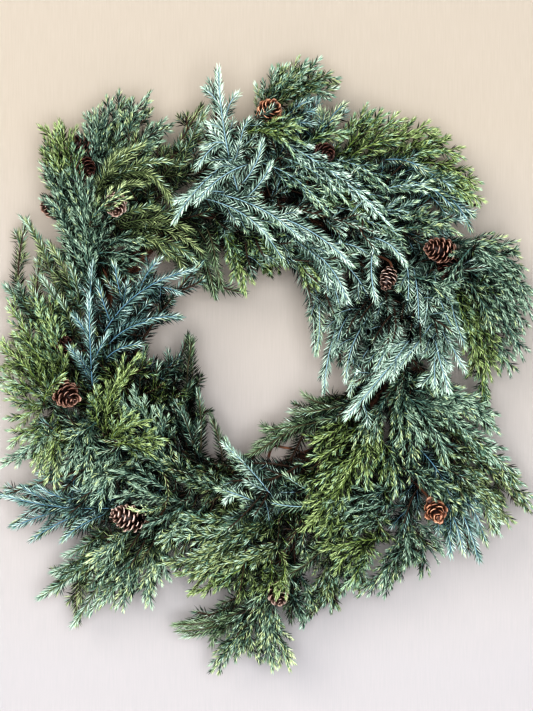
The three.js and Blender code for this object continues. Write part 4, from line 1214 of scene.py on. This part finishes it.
def make_tendril():
    """The thin free end, from its seat through the knots of its arch with a smooth curve."""
    angle = TENDRIL_SEAT[0]
    groove = take_groove(*TENDRIL_SEAT)
    seat = groove_run(groove, angle, -SEAT_SWEEP, groove_distance(TENDRIL_RADIUS))
    knots = [seat[-1]] + [place(point) for point in TENDRIL_ARCH]
    points = [seat[0], seat[1]]
    ends = [knots[0] * 2 - knots[1]] + knots + [knots[-1] * 2 - knots[-2]]
    for before, a, b, after in zip(ends, ends[1:], ends[2:], ends[3:]):
        controls = [a, a + (b - before) / 6, b - (after - a) / 6, b]
        points += list(bezier(controls, SHOOT_POINTS)[:-1])
    points.append(knots[-1])
    taper = np.linspace(1, TENDRIL_TIP_SHARE, len(points))
    batch = tube(points, TENDRIL_RADIUS * taper, TENDRIL_SIDES, OLD_WOOD + 1)
    make_piece("loose_tendril_bark", [(vine_bark, batch)], "loose_tendril")


# Materials


def linear(hex_colour):
    """An sRGB hex colour as linear red, green, blue and alpha."""
    levels = [int(hex_colour[i:i + 2], 16) / 255 for i in (0, 2, 4)]
    return [c / 12.92 if c <= 0.04045 else ((c + 0.055) / 1.055) ** 2.4 for c in levels] + [1.0]


def add(tree, kind, inputs=None, stops=(), **settings):
    """Adds one node with its settings, the stops of its ramp and its links."""
    node = tree.nodes.new("ShaderNode" + kind)
    for key, value in settings.items():
        setattr(node, key, value)
    for index, (share, hex_colour) in enumerate(stops):
        elements = node.color_ramp.elements
        element = elements[index] if index < 2 else elements.new(share)
        element.position = share
        element.color = linear(hex_colour)
    for socket, value in (inputs or {}).items():
        if isinstance(value, bpy.types.NodeSocket):
            tree.links.new(value, node.inputs[socket])
        else:
            node.inputs[socket].default_value = value
    return node


def new_material(name):
    material = bpy.data.materials.new(name)
    material.use_nodes = True
    material.node_tree.nodes.clear()
    return material, material.node_tree


# Grain on the surface map, as turns of the noise along and across it. A needle's patches are then
# 3 mm long and half as wide as it is, the grain of a stem 8 mm by 1.2 mm and that of a vine 37 mm by
# 4 mm, and a cone scale's streaks 0.7 mm wide.
NEEDLE_PATCHES = (5.0, 61.0, 1.0)
STEM_GRAIN = (14.0, 90.0, 1.0)
VINE_GRAIN = (9.0, 60.0, 1.0)
SCALE_STREAKS = (2.0, 140.0, 1.0)

# Brush marks on the wall, 1.25 mm wide and 31 mm long, and uneven tones on the floor, a third of a
# metre across. Both are turns by the metre.
BRUSH_MARKS = 800.0
BRUSH_STRETCH = (1.0, 0.04, 1.0)
FLOOR_CLOUDS = 3.0


def map_places(tree):
    """The surface map, the run along a needle or scale on it, its tone from 0 to 1 and the place
    across it."""
    uv = add(tree, "UVMap", uv_map="OFBake").outputs["UV"]
    axes = add(tree, "SeparateXYZ", {"Vector": uv})
    rows = add(tree, "Math", {0: axes.outputs["Y"], 1: float(ROWS)}, operation="MULTIPLY").outputs[0]
    row = add(tree, "Math", {0: rows}, operation="FLOOR").outputs[0]
    tone = add(tree, "Math", {0: row, 1: float(NEEDLE_ROWS - 1)}, operation="DIVIDE").outputs[0]
    cross = add(tree, "Math", {0: rows}, operation="FRACT").outputs[0]
    return uv, axes.outputs["X"], tone, cross


def needle_skin(name, look):
    """Fresh conifer needles: a waxy green skin with painted shade where it joins the twig, two pale
    bands of bloom along each needle and a light young tip. The darkest needles and those of the
    second colour have less bloom."""
    material, tree = new_material(name)
    uv, run, tone, cross = map_places(tree)
    half = NEEDLE_ROWS // 2
    steps = np.linspace(0, half - 1, len(look["tones"])) / (NEEDLE_ROWS - 1)
    places = list(zip(steps, look["tones"]))
    places += list(zip(steps + half / (NEEDLE_ROWS - 1), look["second"]))
    body = add(tree, "ValToRGB", {"Fac": tone}, stops=places).outputs["Color"]
    stretch = add(tree, "Mapping", {"Vector": uv, "Scale": NEEDLE_PATCHES}).outputs[0]
    blotch = add(tree, "TexNoise", {"Vector": stretch, "Scale": 1.0, "Detail": 2.0}).outputs["Fac"]
    bands = add(tree, "ValToRGB", {"Fac": cross}, stops=[
        (0.0, "202020"), (0.3, "ffffff"), (0.42, "ffffff"), (0.5, "303030"), (0.58, "ffffff"),
        (0.7, "ffffff"), (1.0, "202020")]).outputs["Color"]
    bloom = add(tree, "Math", {0: bands, 1: blotch}, operation="MULTIPLY").outputs[0]
    own = add(tree, "Math", {0: tone, 1: 0.5}, operation="LESS_THAN").outputs[0]
    waxy = add(tree, "MapRange", {"Value": own, "To Min": 0.35, "To Max": 1.0}).outputs[0]
    level = add(tree, "Math", {0: tone, 1: (NEEDLE_ROWS - 1) / half, 2: 0.01},
                operation="MULTIPLY_ADD").outputs[0]
    level = add(tree, "Math", {0: level}, operation="FRACT").outputs[0]
    fresh = add(tree, "MapRange", {"Value": level, "From Min": 0.05, "From Max": 0.6}).outputs[0]
    waxy = add(tree, "Math", {0: waxy, 1: fresh}, operation="MULTIPLY").outputs[0]
    bloom = add(tree, "Math", {0: bloom, 1: waxy}, operation="MULTIPLY").outputs[0]
    bloom = add(tree, "Math", {0: bloom, 1: look["bloom"]}, operation="MULTIPLY").outputs[0]
    frosted = add(tree, "Mix", {0: bloom, 6: body, 7: linear(look["frost"])},
                  data_type="RGBA").outputs[2]
    tip_share = add(tree, "ValToRGB", {"Fac": run}, stops=[
        (0.55, "000000"), (1.0, look["tip_share"])]).outputs["Color"]
    tip_share = add(tree, "Math", {0: tip_share, 1: waxy}, operation="MULTIPLY").outputs[0]
    tipped = add(tree, "Mix", {0: tip_share, 6: frosted, 7: linear(look["tip"])},
                 data_type="RGBA").outputs[2]
    # Painted shade: each needle darker at its foot, where it crowds in among the others on the twig
    foot = add(tree, "ValToRGB", {"Fac": run}, stops=[(0.0, "4c4c4c"), (0.5, "ffffff")])
    colour = add(tree, "Mix", {0: 1.0, 6: tipped, 7: foot.outputs["Color"]},
                 data_type="RGBA", blend_type="MULTIPLY").outputs[2]
    rough = add(tree, "MapRange", {"Value": blotch, "To Min": 0.36, "To Max": 0.6}).outputs[0]
    bump = add(tree, "Bump", {"Height": bloom, "Strength": 0.3, "Distance": 0.0002}).outputs[0]
    shader = add(tree, "BsdfPrincipled", {
        "Base Color": colour, "Roughness": rough, "Normal": bump, "IOR": 1.45,
        "Specular IOR Level": 0.3})
    add(tree, "OutputMaterial", {"Surface": shader.outputs[0]})
    return material


def wood_bark(name, tones, grain=STEM_GRAIN, butt=None):
    """Thin bark: dull and dry, with grain and cracks that run along the stem. A branch is brown
    at its butt and has the tint of its kind further out."""
    material, tree = new_material(name)
    uv = add(tree, "UVMap", uv_map="OFBake").outputs["UV"]
    stretch = add(tree, "Mapping", {"Vector": uv, "Scale": grain}).outputs[0]
    fibres = add(tree, "TexNoise", {
        "Vector": stretch, "Scale": 3.0, "Detail": 4.0, "Roughness": 0.65}).outputs["Fac"]
    places = [(0.28 + 0.44 * index / (len(tones) - 1), colour) for index, colour in enumerate(tones)]
    colour = add(tree, "ValToRGB", {"Fac": fibres}, stops=places).outputs["Color"]
    dull = add(tree, "MapRange", {"Value": fibres, "To Min": 0.7, "To Max": 0.95}).outputs[0]
    if butt is not None:
        height = add(tree, "SeparateXYZ", {"Vector": uv}).outputs["Y"]
        row = add(tree, "Math", {0: height, 1: float(ROWS)}, operation="MULTIPLY").outputs[0]
        young = add(tree, "Math", {0: row, 1: OLD_WOOD + 1.0}, operation="GREATER_THAN").outputs[0]
        old = add(tree, "ValToRGB", {"Fac": fibres}, stops=[(0.3, butt[0]), (0.7, butt[1])])
        colour = add(tree, "Mix", {0: young, 6: old.outputs["Color"], 7: colour},
                     data_type="RGBA").outputs[2]
    bump = add(tree, "Bump", {"Height": fibres, "Strength": 0.6, "Distance": 0.0005}).outputs[0]
    shader = add(tree, "BsdfPrincipled", {"Base Color": colour, "Roughness": dull, "Normal": bump})
    add(tree, "OutputMaterial", {"Surface": shader.outputs[0]})
    return material


def cone_skin():
    """Dry woody cone scales: red-brown with fine streaks, painted shade at the root of each scale
    between the scales, and a pale rim that is partly worn and partly a painted highlight.
    """
    material, tree = new_material("dry_cone_scale")
    uv, run, tone, _ = map_places(tree)
    stretch = add(tree, "Mapping", {"Vector": uv, "Scale": SCALE_STREAKS}).outputs[0]
    streaks = add(tree, "TexNoise", {"Vector": stretch, "Scale": 2.0, "Detail": 3.0}).outputs["Fac"]
    # Painted shade and highlight along each scale: near black at its root, deep between the scales, and a
    # pale rim that is partly wear and partly a painted highlight
    along = add(tree, "ValToRGB", {"Fac": run}, stops=[
        (0.0, "1c1513"), (0.45, "43352f"), (0.7, "6f5a50"), (0.86, "9a857a"), (0.95, "cab8ae"),
        (1.0, "e8ddd4")]).outputs["Color"]
    shade = add(tree, "ValToRGB", {"Fac": streaks}, stops=[(0.3, "8c8c8c"), (0.7, "ffffff")])
    streaked = add(tree, "Mix", {0: 0.8, 6: along, 7: shade.outputs["Color"]},
                   data_type="RGBA", blend_type="MULTIPLY").outputs[2]
    tint = add(tree, "ValToRGB", {"Fac": tone}, stops=[
        (0.0, "66504a"), (0.2, "8a6c62"), (0.27, "b8a298"), (0.46, "e0ccc2"), (0.54, "e2d8d2"),
        (0.73, "ffffff"), (0.8, "d4b098"), (1.0, "f6d6bc")]).outputs["Color"]
    colour = add(tree, "Mix", {0: 1.0, 6: streaked, 7: tint},
                 data_type="RGBA", blend_type="MULTIPLY").outputs[2]
    rough = add(tree, "MapRange", {"Value": streaks, "To Min": 0.34, "To Max": 0.6}).outputs[0]
    bump = add(tree, "Bump", {"Height": streaks, "Strength": 0.4, "Distance": 0.0003}).outputs[0]
    shader = add(tree, "BsdfPrincipled", {"Base Color": colour, "Roughness": rough, "Normal": bump})
    add(tree, "OutputMaterial", {"Surface": shader.outputs[0]})
    return material


def wall_paint():
    """Matt wall paint with painted light: warm white above and cooler below, as a warm lamp above and
    cool daylight below would tint it. Its back lets light and sight through, so that the wreath's back
    can be looked at."""
    material, tree = new_material("matt_wall_paint")
    place_in = add(tree, "TexCoord").outputs["Object"]
    height = add(tree, "SeparateXYZ", {"Vector": place_in}).outputs["Y"]
    # Painted light: the paint turns from a warm lamplight tint high on the wall to a cool daylight tint
    # low on it
    lower = add(tree, "MapRange", {"Value": height, "From Min": 0.1, "From Max": -0.5}).outputs[0]
    brushed = add(tree, "Mapping", {"Vector": place_in, "Scale": BRUSH_STRETCH}).outputs[0]
    grain = add(tree, "TexNoise", {
        "Vector": brushed, "Scale": BRUSH_MARKS, "Detail": 2.0}).outputs["Fac"]
    warm = add(tree, "ValToRGB", {"Fac": grain}, stops=[(0.3, "8a847a"), (0.7, "8d877d")])
    cool = add(tree, "ValToRGB", {"Fac": grain}, stops=[(0.3, "8b8a8a"), (0.7, "8e8c8c")])
    colour = add(tree, "Mix", {0: lower, 6: warm.outputs["Color"], 7: cool.outputs["Color"]},
                 data_type="RGBA").outputs[2]
    paint = add(tree, "BsdfPrincipled", {"Base Color": colour, "Roughness": 0.85})
    clear = add(tree, "BsdfTransparent")
    behind = add(tree, "NewGeometry").outputs["Backfacing"]
    surface = add(tree, "MixShader", {0: behind, 1: paint.outputs[0], 2: clear.outputs[0]})
    add(tree, "OutputMaterial", {"Surface": surface.outputs[0]})
    return material


def floor_finish():
    """Pale matt floor paint, rolled on, with a faint uneven tone."""
    material, tree = new_material("matt_floor_paint")
    place_in = add(tree, "TexCoord").outputs["Object"]
    cloud = add(tree, "TexNoise", {
        "Vector": place_in, "Scale": FLOOR_CLOUDS, "Detail": 3.0}).outputs["Fac"]
    colour = add(tree, "ValToRGB", {"Fac": cloud}, stops=[(0.3, "a19f9b"), (0.7, "a7a5a2")])
    paint = add(tree, "BsdfPrincipled", {
        "Base Color": colour.outputs["Color"], "Roughness": 0.8})
    add(tree, "OutputMaterial", {"Surface": paint.outputs[0]})
    return material


# Each kind of foliage: its needles' tones and those of their second colour from old to young, the
# colour of their tips and how much of it they have, the colour and strength of their bloom, how young
# its needles are, and its young wood
KINDS = {
    "teal_cypress": dict(
        second=("0d130c", "30432e", "7b8a66", "b9c49b"),
        tones=("0a0e0c", "253930", "657b6a", "a4b7a3"), tip="aabc9f", tip_share="262626",
        frost="a5baad", bloom=0.3, young=0.29, wood=("2f3a30", "4c6a60", "7398a0")),
    "yellow_cypress": dict(
        second=("0c110d", "283d30", "627e6c", "a3b99f"),
        tones=("0b1009", "2e3b25", "6d7e53", "a4b485"), tip="b0bd92", tip_share="303030",
        frost="a7b393", bloom=0.25, young=0.27, wood=("3f4a26", "6a7c40", "8a9c5c")),
    "green_cypress": dict(
        second=("0b0f0d", "253c34", "638172", "acbfae"),
        tones=("0a0e08", "2a3723", "647150", "9da980"), tip="a8b590", tip_share="262626",
        frost="a1af96", bloom=0.25, young=0.28, wood=("2c3524", "4c5a38", "75825c")),
    "frosted_spruce": dict(
        second=("0b110d", "283d33", "647c69", "aabca0"),
        tones=("111a17", "3b5349", "8ca395", "bfd0c3"), tip="c0d2c8", tip_share="262626",
        frost="bfd3ca", bloom=0.4, young=0.29, wood=("566c72", "7f9aa4", "a6bdc2")),
    "blue_spruce": dict(
        second=("0d120e", "2c4030", "6f8369", "b9c4a4"),
        tones=("0d1413", "29413d", "67857e", "b0c3bc"), tip="b5c8c0", tip_share="262626",
        frost="afc5c1", bloom=0.35, young=0.27, wood=("344a54", "5a7c8c", "88a6b2")),
    "dark_spruce": dict(
        second=("0c1311", "2f453d", "6f897b", "acbdad"),
        tones=("080b07", "223123", "4f6348", "8b9d80"), tip="9aa986", tip_share="262626",
        frost="909f90", bloom=0.25, young=0.25, wood=("2a2a1e", "4a4632", "6a6248")),
}

OLD_BARK = ("1f150f", "4a3829")

skins = {kind: needle_skin(kind + "_needles", look) for kind, look in KINDS.items()}
barks = {
    kind: wood_bark(kind + "_twig_bark", look["wood"], butt=OLD_BARK)
    for kind, look in KINDS.items()
}
vine_bark = wood_bark("dry_vine_bark", ("1a0f0b", "3b261c", "5d4030", "8f6f56"), grain=VINE_GRAIN)
twig_bark = wood_bark("cone_twig_bark", ("2c1d14", "54392a", "7c5c45"))
cone_scales = cone_skin()

# Camera, light, wall and floor. The photograph is taken square to the wall, and its middle lies to
# the right of the ring's centre and below it. The camera stands at the view distance from the middle
# of the foliage's depth and takes in a frame 768 mm high there.
VIEW_ACROSS = 24
VIEW_UP = -17
VIEW_DISTANCE = 2000
FOLIAGE_MIDDLE = 45
FRAME_HEIGHT = 768
SENSOR = 36

# Lights: place, the point that they face and size in metres, power in watts and colour
LIGHTS = {
    "lamp": ((-2.0, -3.0, 1.3), (0, 0, -0.1), 2.4, 76, "fff7ef"),
    "window": ((0.2, -3.3, -0.3), (0.1, 0, -0.3), 2.2, 144, "fafaff"),
    "back_lamp": ((1.2, 2.6, 0.6), (0, 0, -0.1), 2.0, 170, "fafaff"),
}
ROOM_LIGHT = "f1f3f6"
ROOM_STRENGTH = 0.46

# The wall stands clear of the wreath by a gap in millimetres. Sizes and the floor are in metres.
WALL_GAP = 3
WALL_SIZE = 9
FLOOR_SIZE = 12
FLOOR_HEIGHT = -1.7


def make_camera():
    data = bpy.data.cameras.new("camera")
    data.sensor_width = SENSOR
    data.lens = SENSOR * VIEW_DISTANCE / FRAME_HEIGHT
    camera = bpy.data.objects.new("camera", data)
    camera.location = place((VIEW_ACROSS, VIEW_UP, FOLIAGE_MIDDLE + VIEW_DISTANCE)) * MM
    camera.rotation_euler = (math.pi / 2, 0, 0)
    bpy.context.scene.collection.objects.link(camera)
    bpy.context.scene.camera = camera


def make_light(name, location, target, size, power, hex_colour):
    data = bpy.data.lights.new(name, "AREA")
    data.shape = "DISK"
    data.size = size
    data.energy = power
    data.color = linear(hex_colour)[:3]
    light = bpy.data.objects.new(name, data)
    light.location = location
    way = np.array(target) - np.array(location)
    light.rotation_euler = (
        math.atan2(math.hypot(way[0], way[1]), -way[2]), 0, math.atan2(way[1], way[0]) - math.pi / 2)
    light.visible_camera = False
    bpy.context.scene.collection.objects.link(light)


def make_stage():
    """The wall casts no shadow, so that the light behind it reaches the back of the wreath."""
    for name, location, turn, size, finish in (
        ("wall", (0, (BACK_LIMIT + WALL_GAP) * MM, 0), (math.pi / 2, 0, 0), WALL_SIZE, wall_paint()),
        ("floor", (0, 0, FLOOR_HEIGHT), (0, 0, 0), FLOOR_SIZE, floor_finish()),
    ):
        bpy.ops.object.select_all(action="DESELECT")
        bpy.ops.mesh.primitive_plane_add(size=size, location=location, rotation=turn)
        plane = bpy.context.object
        plane.name = name
        plane.visible_shadow = name == "floor"
        plane.data.materials.append(finish)
    world = bpy.data.worlds.new("studio")
    world.use_nodes = True
    background = world.node_tree.nodes["Background"]
    background.inputs["Color"].default_value = linear(ROOM_LIGHT)
    background.inputs["Strength"].default_value = ROOM_STRENGTH
    bpy.context.scene.world = world
    for name, (location, target, size, power, colour) in LIGHTS.items():
        make_light(name, location, target, size, power, colour)
    bpy.context.scene.view_settings.view_transform = "Standard"
    bpy.context.scene.view_settings.look = "Very High Contrast"


make_camera()
make_stage()
needle_template = model_needle()
scale_template = model_cone_scale()
core_template = model_cone_core()
slot_of = {part["node"]: part["material_slot"] for part in frame["record"]["subparts"]}

core_start = math.radians(VINE_FIRST_END - VINE_END_SPACING / 2)
sweep = np.linspace(0, math.radians(VINE_SWEEP), VINE_STATIONS)
make_vine("core_vine", 0, core_start + sweep, CORE_VINE_RADIUS, 0)
for vine in range(OUTER_VINES):
    vine_start = math.radians(VINE_FIRST_END + VINE_END_SPACING * vine)
    make_vine(f"outer_vine_{vine + 1}", vine, vine_start + sweep, OUTER_VINE_RADIUS, LAY_RADIUS)
make_tendril()
for number, branch in enumerate(BRANCHES):
    make_branch(number, branch, slot_of[branch], needle_template)
for number, twig in enumerate(CONE_TWIGS):
    make_cone_twig(number, twig, scale_template, core_template)
